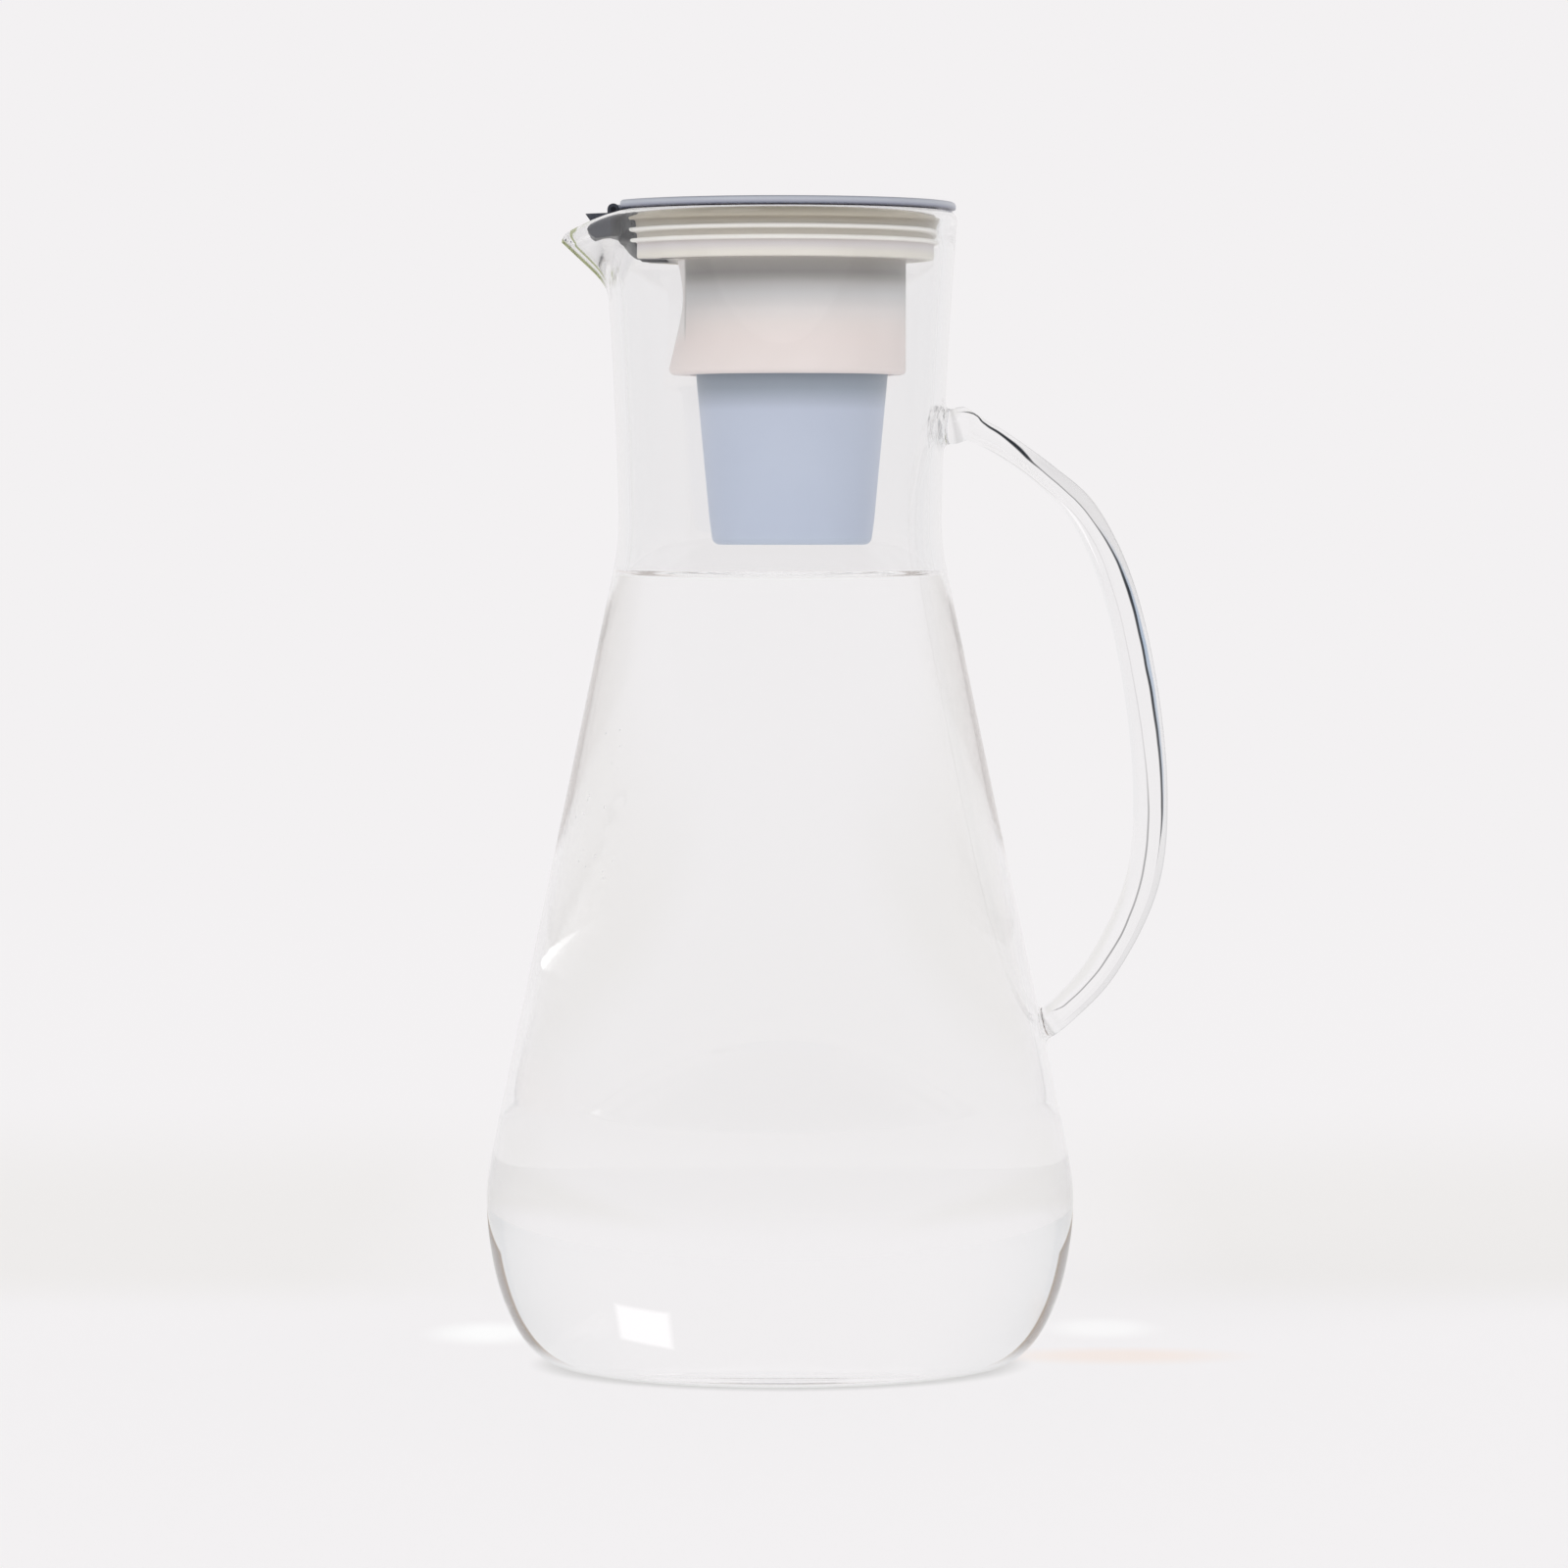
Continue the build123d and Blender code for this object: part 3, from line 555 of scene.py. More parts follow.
def strap_painted_lines(node, place):
    """Painted shade on the strap, on its -Y side only: dark lines along it, greyer edges and fine lines
    across its ends, and a painted bluish glint.
    """
    spot = node("Attribute", attribute_name="strap_place")
    parts = node("SeparateXYZ", {0: spot.outputs["Vector"]})
    along, across, edge = parts.outputs
    wander = node("TexNoise", {"Vector": place, "Scale": 1 / (6 * MM), "Detail": 1.0})
    shift = node("MapRange", {0: wander, 3: -0.12, 4: 0.12})
    across = node("Math", {0: across, 1: shift}, operation="ADD")
    outer, beyond = streak(node, along, across, OUTER_PAINTED_LINE)
    inner, _ = streak(node, along, across, INNER_PAINTED_LINE)
    glint, _ = streak(node, along, across, BLUE_PAINTED_GLINT)
    greys = node("ValToRGB", {0: along})
    fill_ramp(greys, [(at, grey(level)) for at, level in OUTER_PAINTED_GREY])
    outside = node("MapRange", {0: beyond, 1: 0.0, 2: 0.2})
    rim = node("MapRange", {0: edge, 1: 0.86, 2: 0.99, 4: 0.16})
    strip = node("Math", {0: greys, 1: rim}, operation="ADD")
    veil = node("Math", {0: strip, 1: outside}, operation="MULTIPLY")
    height = node("SeparateXYZ", {0: place})
    front = node("MapRange", {0: height.outputs["Y"], 1: -0.2 * MM, 2: -0.8 * MM})
    painted_end_lines = node("ValToRGB", {0: along})
    fill_ramp(painted_end_lines, [(at, grey(level)) for at, level in END_PAINTED_LINES])
    colour = grey(1.0)
    for amount, tone in (
        (veil, "#1C1D1C"),
        (painted_end_lines, "#2A2E2C"),
        (glint, "#6F9CC4"),
        (inner, "#15181A"),
        (outer, "#101A24"),
    ):
        on_front = node("Math", {0: amount, 1: front}, operation="MULTIPLY")
        colour = node("Mix", {0: on_front, 6: colour, 7: linear(tone)}, data_type="RGBA")
    return colour


def lip_green_and_painted_shade(node, place):
    """Green along the spout's thick lip, a faint grey in the wall and painted shade at the base's edge."""
    parts = node("SeparateXYZ", {0: place}).outputs
    aside = node("Math", {0: parts["Y"]}, operation="ABSOLUTE")
    near = node("MapRange", {0: aside, 1: 3.0 * MM, 2: 2.2 * MM})
    # how far a place lies behind the plane of the lip's outside
    rise = node("Math", {0: parts["Z"], 1: SPOUT_LEAN, 2: parts["X"]}, operation="MULTIPLY_ADD")
    foot = (SPOUT_FOOT[0] - SPOUT_LEAN * SPOUT_FOOT[1]) * MM
    depth = node("Math", {0: rise, 1: foot}, operation="ADD")
    out = node("MapRange", {0: depth, 1: 1.1 * MM, 2: 0.9 * MM})
    high = node("MapRange", {0: parts["Z"], 1: 226.5 * MM, 2: 229.0 * MM})
    amount = node("Math", {0: near, 1: out}, operation="MULTIPLY")
    amount = node("Math", {0: amount, 1: high}, operation="MULTIPLY")
    wall = node("MapRange", {0: parts["Z"], 1: 26 * MM, 2: 42 * MM})
    clear = node("Mix", {0: wall, 6: grey(1.0), 7: linear("#FDFDFD")}, data_type="RGBA")
    # painted shade: the thick rounded edge of the base turns light away, so it is darkened where the surface
    # is seen aslant
    aslant = node("LayerWeight", {"Blend": 0.5}).outputs["Facing"]
    start = node("MapRange", {0: parts["Z"], 1: 34 * MM, 2: 25 * MM, 3: 1.0, 4: 0.745})
    past = node("Math", {0: aslant, 1: start}, operation="SUBTRACT")
    edge_shade = node("MapRange", {0: past, 1: 0.0, 2: 0.02})
    ground = node("MapRange", {0: parts["Z"], 1: 2.0 * MM, 2: 6.0 * MM})
    edge_shade = node("Math", {0: edge_shade, 1: ground}, operation="MULTIPLY")
    edge_shade_tone = node("ValToRGB", {0: past})
    tones = ((0.0, "#C9B8A8"), (0.05, "#C9C3BE"), (0.13, "#D2CFCE"), (0.2, "#EDECEB"))
    fill_ramp(edge_shade_tone, [(at, linear(tone)) for at, tone in tones])
    body = node("Mix", {0: edge_shade, 6: clear, 7: edge_shade_tone}, data_type="RGBA")
    return node("Mix", {0: amount, 6: body, 7: linear("#B2B893")}, data_type="RGBA")


def clear_glass(name, ior, tint, hills_mm, height_mm, tint_and_painted_shade=None):
    """Fire-polished clear glass: it shows what is behind it, with the faint waves that blowing leaves.

    tint_and_painted_shade draws a colour over the tint, painted shade included. Light that comes from a lamp
    or from paper goes straight through, and so does a ray that has gone to and fro many times, which would
    stay black inside the wall. At the foot such a ray comes out a little darker, a painted shade along the
    base's bottom edge.
    """
    material, node = start_material(name)
    place = node("TexCoord").outputs["Object"]
    waves = node("TexNoise", {"Vector": place, "Scale": 1 / (hills_mm * MM), "Detail": 1.0})
    bump = node("Bump", {"Height": waves, "Distance": height_mm * MM, "Strength": 1.0})
    colour = linear(tint)
    if tint_and_painted_shade:
        drawn = tint_and_painted_shade(node, place)
        colour = node("Mix", {0: 1.0, 6: colour, 7: drawn}, data_type="RGBA", blend_type="MULTIPLY")
    glass = node("BsdfGlass", {"Color": colour, "Roughness": 0.0, "IOR": ior, "Normal": bump})
    ray = node("LightPath").outputs
    spent = node("Math", {0: ray["Ray Depth"], 1: 9.5}, operation="GREATER_THAN")
    # painted shade: at the base's bottom edge spent rays come out greyer
    height = node("SeparateXYZ", {0: place})
    foot = node("MapRange", {0: height.outputs["Z"], 1: 3.5 * MM, 2: 2.0 * MM})
    foot = node("Math", {0: foot, 1: spent}, operation="MULTIPLY")
    veil = node("Mix", {0: foot, 6: linear(tint), 7: linear("#E6E3E1")}, data_type="RGBA")
    straight = node("BsdfTransparent", {"Color": veil})
    plain = node("Math", {0: ray["Is Shadow Ray"], 1: ray["Is Diffuse Ray"]}, operation="MAXIMUM")
    through = node("Math", {0: plain, 1: spent}, operation="MAXIMUM")
    mix = node("MixShader", {0: through, 1: glass, 2: straight})
    node("OutputMaterial", {"Surface": mix})
    return material


def moulded(name, tone, dark_tone, roughness, grain_mm, grain_depth_mm, bands=None, patch_mm=14.0):
    """Moulded plastic or rubber: an even tone with slow drifts and the fine grain of a spark-eroded mould.

    bands are (height in mm, colour) from low to high: painted light and shade by height, as where what lies
    behind a thin wall shades it.
    """
    material, node = start_material(name)
    place = node("TexCoord").outputs["Object"]
    drift = node("TexNoise", {"Vector": place, "Scale": 1 / (patch_mm * MM), "Detail": 3.0})
    colour = node("Mix", {0: drift, 6: linear(tone), 7: linear(dark_tone)}, data_type="RGBA")
    if bands:
        low, high = bands[0][0], bands[-1][0]
        height = node("SeparateXYZ", {0: place})
        share = node("MapRange", {0: height.outputs["Z"], 1: low * MM, 2: high * MM})
        ramp = node("ValToRGB", {0: share})
        fill_ramp(ramp, [((z - low) / (high - low), linear(tone)) for z, tone in bands])
        colour = node("Mix", {0: 1.0, 6: colour, 7: ramp}, data_type="RGBA", blend_type="MULTIPLY")
    grain = node("TexNoise", {"Vector": place, "Scale": 1 / (grain_mm * MM), "Detail": 2.0})
    rough = node("MapRange", {0: grain, 3: roughness - 0.06, 4: roughness + 0.08})
    bump = node("Bump", {"Height": grain, "Distance": grain_depth_mm * MM, "Strength": 0.6})
    skin = node("BsdfPrincipled", {"Base Color": colour, "Roughness": rough, "Normal": bump, "IOR": 1.49})
    node("OutputMaterial", {"Surface": skin})
    return material


def open_colour(material):
    """add_node for a moulded material, its colour's input, what feeds that, and the place's x, y and z."""
    node = partial(add_node, material.node_tree)
    base = material.node_tree.nodes["Principled BSDF"].inputs["Base Color"]
    parts = node("SeparateXYZ", {0: node("TexCoord").outputs["Object"]})
    return node, base, base.links[0].from_socket, parts.outputs


def add_patch(material, tone, x_span, z_span):
    """Mix a tone into a moulded colour where x and z pass from the first to the second of each span (mm)."""
    node, base, colour, parts = open_colour(material)
    along = node("MapRange", {0: parts["X"], 1: x_span[0] * MM, 2: x_span[1] * MM})
    high = node("MapRange", {0: parts["Z"], 1: z_span[0] * MM, 2: z_span[1] * MM})
    share = node("Math", {0: along, 1: high}, operation="MULTIPLY")
    mixed = node("Mix", {0: share, 6: colour, 7: linear(tone)}, data_type="RGBA")
    material.node_tree.links.new(mixed.outputs[2], base)


def add_painted_pale_strip(material, edge_x, from_z, to_z):
    """Painted light: the holder's wall is paler on the spout side, up to a fine darker line of painted shade.
    """
    node, base, colour, parts = open_colour(material)
    near, far = (edge_x + 0.15) * MM, (edge_x - 0.1) * MM
    rib = node("MapRange", {0: parts["X"], 1: near, 2: far})
    off = node("Math", {0: parts["X"], 1: edge_x * MM}, operation="SUBTRACT")
    off = node("Math", {0: off}, operation="ABSOLUTE")
    line = node("MapRange", {0: off, 1: 0.32 * MM, 2: 0.1 * MM, 4: 0.5})
    high = node("MapRange", {0: parts["Z"], 1: from_z * MM, 2: to_z * MM})
    for amount, tone in ((rib, "#F4F0EE"), (line, "#B4B0AC")):
        share = node("Math", {0: amount, 1: high}, operation="MULTIPLY")
        mixed = node("Mix", {0: share, 6: colour, 7: linear(tone)}, data_type="RGBA")
        colour = mixed.outputs[2]
    material.node_tree.links.new(colour, base)


# borosilicate, blown and fire-polished: no grain, long faint waves that bend what lies behind, a green lip,
# painted shade at the base's edge
borosilicate = clear_glass("borosilicate_glass_blown", 1.473, "#FFFFFF", 26.0, 0.008, lip_green_and_painted_shade)
# the same glass drawn from a gather: shorter waves, with painted shade lines and a painted bluish glint on
# the strap
drawn_strap = clear_glass("borosilicate_glass_drawn", 1.473, "#FEFEFE", 9.0, 0.006, strap_painted_lines)
# the wall under water: glass against water bends light only a little, so this surface hardly shows
wetted = clear_glass("borosilicate_glass_wetted", 1.473 / 1.333, "#FFFFFF", 26.0, 0.008)
# still drinking water: a level mirror-smooth surface that bends the far wall below it
water_top = clear_glass("drinking_water", 1.333, "#FFFFFF", 40.0, 0.005)
# air let out of standing water: tiny round beads with a dark rim
bubble_skin = clear_glass("air_in_water", 1 / 1.333, "#FFFFFF", 5.0, 0.001)
# polypropylene moulded in slate with a fine spark-eroded grain: soft satin, with painted shade on the skirt
# inside the spout
SKIRT_PAINTED_SHADE = [(232.4, "#787879"), (237.3, "#828284"), (238.3, "#FFFFFF"), (245.0, "#FFFFFF")]
slate = moulded("polypropylene_slate", "#3C3F48", "#353841", 0.42, 0.35, 0.01, SKIRT_PAINTED_SHADE)
slate.node_tree.nodes["Principled BSDF"].inputs["Specular IOR Level"].default_value = 0.2
# painted shade: the skirt is in the seal's shade beside the seal's ends. The plug's open underside is pale
# below 236 mm, from x -24 mm on towards the handle
add_patch(slate, "#15161A", (-34.0, -32.6), (242.2, 241.2))
add_patch(slate, "#CFC9C2", (-24.0, -21.5), (236.2, 235.8))
# the same plastic from a polished mould, with a painted sheen: its thin edge is coloured paler than its
# faces, where it catches the light
EDGE_PAINTED_SHEEN = [
    (243.1, "#63677A"), (243.5, "#A6AAB8"), (244.0, "#BDC1CA"), (244.4, "#ABAFB9"), (244.69, "#5C606C"),
]
slate_polished = moulded("polypropylene_slate_polished", "#FFFFFF", "#F4F4F6", 0.3, 0.35, 0.006, EDGE_PAINTED_SHEEN)
# moulded silicone rubber: chalky and soft, with painted light on its fins, painted shade in the grooves
# between them and a brown painted shade on its top lip
SEAL_PAINTED_LIGHT_AND_SHADE = [
    (232.5, "#F0ECE3"), (233.4, "#F0ECE3"), (235.0, "#E1DCDD"), (235.9, "#D1CAC8"),
    (236.1, "#FFFDF8"), (236.9, "#FFFDF8"), (237.1, "#CBC5BB"), (238.2, "#C6C0B5"),
    (238.4, "#FFFDF8"), (239.2, "#FFFDF8"), (239.4, "#C9C4B9"), (240.3, "#B5AC9C"),
    (240.9, "#C2BAA8"), (241.4, "#8E856E"), (242.3, "#877C66"), (242.9, "#BDB4A2"),
]
seal_silicone = moulded("silicone_pale", "#FFFFFF", "#F6F5F3", 0.5, 0.5, 0.01, SEAL_PAINTED_LIGHT_AND_SHADE)
# undyed polypropylene, moulded thin: lets light into it; warm white below, with painted shade that greys it
# under the plug
HOLDER_PAINTED_SHADE = [
    (208.5, "#F7EDEA"), (215.5, "#F6EBE8"), (218.5, "#F4EBE8"), (221.5, "#EFEAE9"),
    (225.0, "#D8D8D9"), (227.0, "#C4C3C3"), (228.4, "#A5A3A1"), (229.5, "#93918F"),
    (231.5, "#A3A09C"), (232.5, "#B3AFAB"),
]
holder_natural = moulded("polypropylene_natural", "#FFFFFF", "#F5F4F3", 0.42, 0.4, 0.01, HOLDER_PAINTED_SHADE)
# painted light: a pale strip on the holder's spout side, edged by a fine line of painted shade
add_painted_pale_strip(holder_natural, -19.7, 215.0, 219.0)
# polypropylene moulded in pale blue: even satin tone, with painted shade just below the holder
CUP_PAINTED_SHADE = [
    (172.7, "#C8D3E4"), (175.0, "#C4CEE1"), (201.0, "#C6CFE1"), (205.5, "#9DA8B6"), (209.0, "#919CA9"),
]
cup_blue = moulded("polypropylene_blue", "#FFFFFF", "#F7F8FA", 0.4, 0.35, 0.01, CUP_PAINTED_SHADE)
# white polypropylene, moulded: plain satin inlet cap
cap_white = moulded("polypropylene_white", "#E8E8E6", "#E0E0DE", 0.45, 0.4, 0.01)
# nitrile rubber rings, moulded: matt black
ring_rubber = moulded("nitrile_rubber_black", "#1E1E1F", "#171718", 0.55, 0.3, 0.01)
# steel pin, ground and blackened: near black with a soft metal sheen
pin_steel = moulded("steel_black_oxide_ground", "#2C2D31", "#232428", 0.4, 0.2, 0.005)
pin_steel.node_tree.nodes["Principled BSDF"].inputs["Metallic"].default_value = 1.0
# woven nylon mesh, 0.25 mm weave: too fine to show, so only its matt white unevenness is drawn
mesh_nylon = moulded("nylon_mesh_white", "#DCDCDA", "#CFCFCC", 0.6, 0.25, 0.05)
# needled polyester felt: matt, fluffy and slightly yellow
felt = moulded("polyester_felt", "#E9E7E0", "#DAD6CC", 0.9, 0.5, 0.2)
# activated carbon, crushed to grains of about 0.9 mm: rough black that shows every grain
carbon = moulded("activated_carbon_granules", "#1B1B1C", "#0C0C0D", 0.8, 0.9, 0.5)


def side_of_water():
    """The sides of the water body touch the wetted wall, so they show nothing of their own."""
    material, node = start_material("drinking_water_at_wall")
    open_side = node("BsdfTransparent", {"Color": (1, 1, 1, 1)})
    node("OutputMaterial", {"Surface": open_side})
    return material


water_side = side_of_water()

# ---------------------------------------------------------------- carafe


def mark_strap(piece):
    """Writes how far along the strap, how far across it (mm) and how near its edge each vertex lies."""
    track = smooth_track(HANDLE_STATIONS, 24)
    off_the_strap = 9.0
    lengths = [0.0]
    for p, q in zip(track, track[1:]):
        lengths.append(lengths[-1] + math.dist(p[:2], q[:2]))
    places = []
    for vertex in piece.data.vertices:
        x, y, z = (c / MM for c in vertex.co)
        place = (0.0 if z > 134 else 1.0, off_the_strap, 0.0)
        if x > STRAP_FROM_X and abs(y) < STRAP_HALF_Y and 60 < z < 212:
            k = min(range(1, len(track) - 1), key=lambda i: (track[i][0] - x) ** 2 + (track[i][1] - z) ** 2)
            run = Vector((track[k + 1][0] - track[k - 1][0], track[k + 1][1] - track[k - 1][1])).normalized()
            away = Vector((x - track[k][0], z - track[k][1]))
            off = away.x * -run.y + away.y * run.x
            if math.hypot(off, y) < off_the_strap:
                along = (lengths[k] + away.dot(run)) / lengths[-1]
                place = (along, off, min(abs(off) / (track[k][2] / 2), 1.0))
        places.extend(place)
    marks = piece.data.attributes.new("strap_place", "FLOAT_VECTOR", "POINT")
    marks.data.foreach_set("vector", places)


def give_materials(piece):
    """Wetted glass inside up to the water's edge, drawn glass on the strap, blown glass elsewhere."""
    blown, wetted_inside, strap = range(3)
    for face in piece.data.polygons:
        x, y, z = (c / MM for c in face.center)
        wall_r, r = radius_at(OUTER, z), math.hypot(x, y)
        if z > BOWL_Z:
            inside = r < wall_r - STRAP_SINK
        else:
            inside = z > FLOOR_THICKNESS / 2 and face.normal.dot(Vector((x, y, z - BOWL_Z))) < 0
        face.material_index = wetted_inside if inside and z < WATER_Z + MENISCUS_RISE else blown
        if x > STRAP_FROM_X and abs(y) < STRAP_HALF_Y and r > wall_r + 0.25:
            face.material_index = strap


carafe = build_glass([borosilicate, wetted, drawn_strap])
fuse(carafe, build_handle([borosilicate]))
mark_strap(carafe)
give_materials(carafe)
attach(carafe, "carafe")
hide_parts("glass_carafe", "glass_handle")


def build_water():
    """The filling: the wall's inside shape, closed by a surface that climbs a little at the wall."""
    gap = 0.04
    wetted_wall = [p for p in rows_below(INNER, []) if p[1] < WATER_Z]
    shape = [(max(r - gap, 0.0), z + (gap if z < 40 else 0.0)) for r, z in wetted_wall]
    edge_z = WATER_Z + MENISCUS_RISE
    edge_r = radius_at(INNER, edge_z) + 0.05
    shape += [(edge_r - 0.09, edge_z - 0.4), (edge_r, edge_z)]
    for away in (0.15, 0.35, 0.6, 0.9, 1.3, 1.8, 2.4, 3.2, 4.2, 5.5, 7.0, 10.0, 16.0, 24.0):
        shape.append((edge_r - away, WATER_Z + MENISCUS_RISE * math.exp(-away / MENISCUS_REACH)))
    shape.append((0.0, WATER_Z))
    made = turn("water", shape, water_side, steps=200)
    made.data.materials.append(water_top)
    for face in made.data.polygons:
        if face.center.z > (WATER_Z - 0.02) * MM and face.normal.z > 0.2:
            face.material_index = 1
    return made


water = build_water()
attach(water, "carafe")


def bubble_tree():
    """Node tree that sows small round bubbles over the object's faces."""
    tree, sockets, node = start_group(
        "sown_bubbles",
        (
            ("Per square metre", "NodeSocketFloat", 30000.0),
            ("Seed", "NodeSocketInt", 7),
            ("Largest radius", "NodeSocketFloat", 0.3 * MM),
            ("Smallest share", "NodeSocketFloat", 0.35),
            ("Material", "NodeSocketMaterial", None),
        ),
    )
    inputs = node("NodeGroupInput").outputs
    sowing = {"Mesh": inputs["Geometry"], "Density": inputs["Per square metre"], "Seed": inputs["Seed"]}
    dots = node("GeometryNodeDistributePointsOnFaces", sowing)
    ball = node("GeometryNodeMeshIcoSphere", {"Radius": inputs["Largest radius"], "Subdivisions": 2})
    chance = {2: inputs["Smallest share"], 3: 1.0, "Seed": inputs["Seed"]}
    size = node("FunctionNodeRandomValue", chance, data_type="FLOAT")
    sown = node("GeometryNodeInstanceOnPoints", {"Points": dots, "Instance": ball, "Scale": size})
    real = node("GeometryNodeRealizeInstances", {"Geometry": sown})
    smooth = node("GeometryNodeSetShadeSmooth", {"Geometry": real})
    painted = node("GeometryNodeSetMaterial", {"Geometry": smooth, "Material": inputs["Material"]})
    node("NodeGroupOutput", {"Geometry": painted})
    return tree, sockets


def build_bubbles():
    """Tiny bubbles that cling to the wall on the spout side, in patches, just inside the water."""
    vertices, faces = [], []
    # each patch as (lower z, upper z, first angle, last angle) from the spout
    patches = ((101, 109, 20, 44), (104, 120, 2, 22), (116, 134, 20, 40), (70, 100, 4, 12))
    for low, high, start, end in patches:
        first = len(vertices)
        for z in (low, high):
            r = radius_at(INNER, z) - 0.42
            vertices += [from_spout(r, math.radians(a), z) for a in (start, end)]
        faces.append((first, first + 1, first + 3, first + 2))
    made = make_object("bubbles", vertices, faces, [])
    values = {"Per square metre": 42000.0, "Seed": 11, "Largest radius": 0.3 * MM, "Smallest share": 0.35}
    run_group(made, *bubble_tree(), values | {"Material": bubble_skin})
    return made


bubbles = build_bubbles()
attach(bubbles, "carafe")

# ---------------------------------------------------------------- flip lid


def build_flip_lid():
    """Thin round lid, cut straight at the hinge, with a rolled top edge. Its knuckle on the cut side is made
    by build_knuckle.
    """
    # the rolled edge, as (inset, z)
    profile = [(0.5, 243.1), (0.15, 243.16), (0.0, 243.4), (0.0, 243.95)]
    profile += [(0.1, 244.25), (0.3, 244.5), (0.6, 244.65), (1.0, 244.7)]
    arc_count, chord_count = 180, 24
    rings = []
    for inset, z in profile:
        radius, chord = FLIP_LID_R - inset, HINGE_EDGE_X + inset
        open_angle = math.acos(-chord / radius)
        ring = []
        for i in range(arc_count + 1):
            t = math.pi - open_angle - (2 * math.pi - 2 * open_angle) * i / arc_count
            ring.append((radius * math.cos(t), radius * math.sin(t), z))
        y_end = ring[-1][1]
        ring += [(chord, y_end - 2 * y_end * i / chord_count, z) for i in range(1, chord_count)]
        rings.append(ring)
    count = len(rings[0])
    vertices = [v for ring in rings for v in ring]
    faces = grid_faces(len(rings), count)
    faces += [tuple(range(count)), tuple(range((len(rings) - 1) * count, len(rings) * count))]
    return make_object("flip_lid_disc", vertices, faces, [slate_polished])


flip_lid = build_flip_lid()


def build_knuckle():
    """The hinge knuckle and its web, a pierced barrel along Y."""
    barrel_r, bore_r, half_length = 1.25, 0.65, 4.6
    barrel = map(math.radians, range(62, 362, 12))
    outline = [(barrel_r * math.cos(t), barrel_r * math.sin(t)) for t in barrel]
    outline += [(barrel_r, 0.1), (2.5, 0.1), (2.5, 1.1)]
    turns = [math.atan2(z, x) for x, z in outline]
    hole = [(bore_r * math.cos(t), bore_r * math.sin(t)) for t in turns]
    count = len(outline)
    sides = (-half_length, half_length)
    vertices = [(HINGE[0] + x, y, HINGE[1] + z) for y in sides for loop in (outline, hole) for x, z in loop]
    faces = []
    for k in range(count):
        n = (k + 1) % count
        faces.append((k, n, 2 * count + n, 2 * count + k))
        faces.append((count + n, count + k, 3 * count + k, 3 * count + n))
        faces.append((n, k, count + k, count + n))
        faces.append((2 * count + k, 2 * count + n, 3 * count + n, 3 * count + k))
    return make_object("flip_lid_knuckle", vertices, faces, [slate_polished], smooth=False)


knuckle = build_knuckle()
for piece in (flip_lid, knuckle):
    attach(piece, "flip_lid")
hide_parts("flip_lid")

# ---------------------------------------------------------------- seal


def swept_sleeve_tree():
    """Node tree that sweeps the object's closed section along an open ring and caps both ends."""
    tree, sockets, node = start_group(
        "swept_sleeve",
        (
            ("Ring radius", "NodeSocketFloat", PLUG_R * MM),
            ("Gap angle", "NodeSocketFloat", SEAL_GAP_ANGLE),
            ("Steps", "NodeSocketInt", 200),
            ("Height", "NodeSocketFloat", SEAL_FOOT_Z * MM),
            ("Material", "NodeSocketMaterial", None),
        ),
    )
    inputs = node("NodeGroupInput").outputs
    half_gap = node("Math", {0: inputs["Gap angle"], 1: 0.5}, operation="MULTIPLY")
    start = node("Math", {0: math.pi, 1: half_gap}, operation="ADD")
    sweep = node("Math", {0: 2 * math.pi, 1: inputs["Gap angle"]}, operation="SUBTRACT")
    arc = {"Resolution": inputs["Steps"], "Radius": inputs["Ring radius"], "Start Angle": start}
    ring = node("GeometryNodeCurveArc", arc | {"Sweep Angle": sweep})
    section = node("GeometryNodeMeshToCurve", {"Mesh": inputs["Geometry"]})
    skin = node("GeometryNodeCurveToMesh", {"Curve": ring, "Profile Curve": section, "Fill Caps": True})
    lift = node("CombineXYZ", {"Z": inputs["Height"]})
    placed = node("GeometryNodeTransform", {"Geometry": skin, "Translation": lift})
    real = node("GeometryNodeRealizeInstances", {"Geometry": placed})
    painted = node("GeometryNodeSetMaterial", {"Geometry": real, "Material": inputs["Material"]})
    node("NodeGroupOutput", {"Geometry": painted})
    return tree, sockets


def seal_section():
    """Closed outline of the sleeve, as (out from the plug, z): hooked foot, two round fins, thick top lip."""
    points = [(-2.0, SEAL_FOOT_Z), (0.75, SEAL_FOOT_Z), (1.0, 232.6), (1.1, 232.9)]
    for fin_z in (236.5, 238.8):
        points += [(1.1, fin_z - 0.75), (1.25, fin_z - 0.5)]
        turns = map(math.radians, range(-90, 91, 22))
        points += [(1.75 + 0.45 * math.cos(t), fin_z + 0.45 * math.sin(t)) for t in turns]
        points += [(1.25, fin_z + 0.5), (1.1, fin_z + 0.75)]
    points += [(1.1, 240.3), (1.3, 240.5), (1.95, 240.5), (2.2, 240.65), (2.3, 240.9), (2.3, 242.4)]
    points += [(2.15, 242.75), (1.8, 242.9), (0.0, 242.9), (0.0, 232.9), (-2.0, 232.9)]
    return points


def square_the_ends(piece):
    """Moves the sleeve's vertices along their rings, so that both its ends stand flat beside the beak."""
    half = SEAL_GAP_ANGLE / 2
    for vertex in piece.data.vertices:
        x, y, _ = vertex.co
        r = math.hypot(x, y)
        end = math.asin(SEAL_GAP_HALF * MM / r)
        angle = end + (math.atan2(abs(y), -x) - half) * (math.pi - end) / (math.pi - half)
        vertex.co.x = -r * math.cos(angle)
        vertex.co.y = math.copysign(r * math.sin(angle), y)


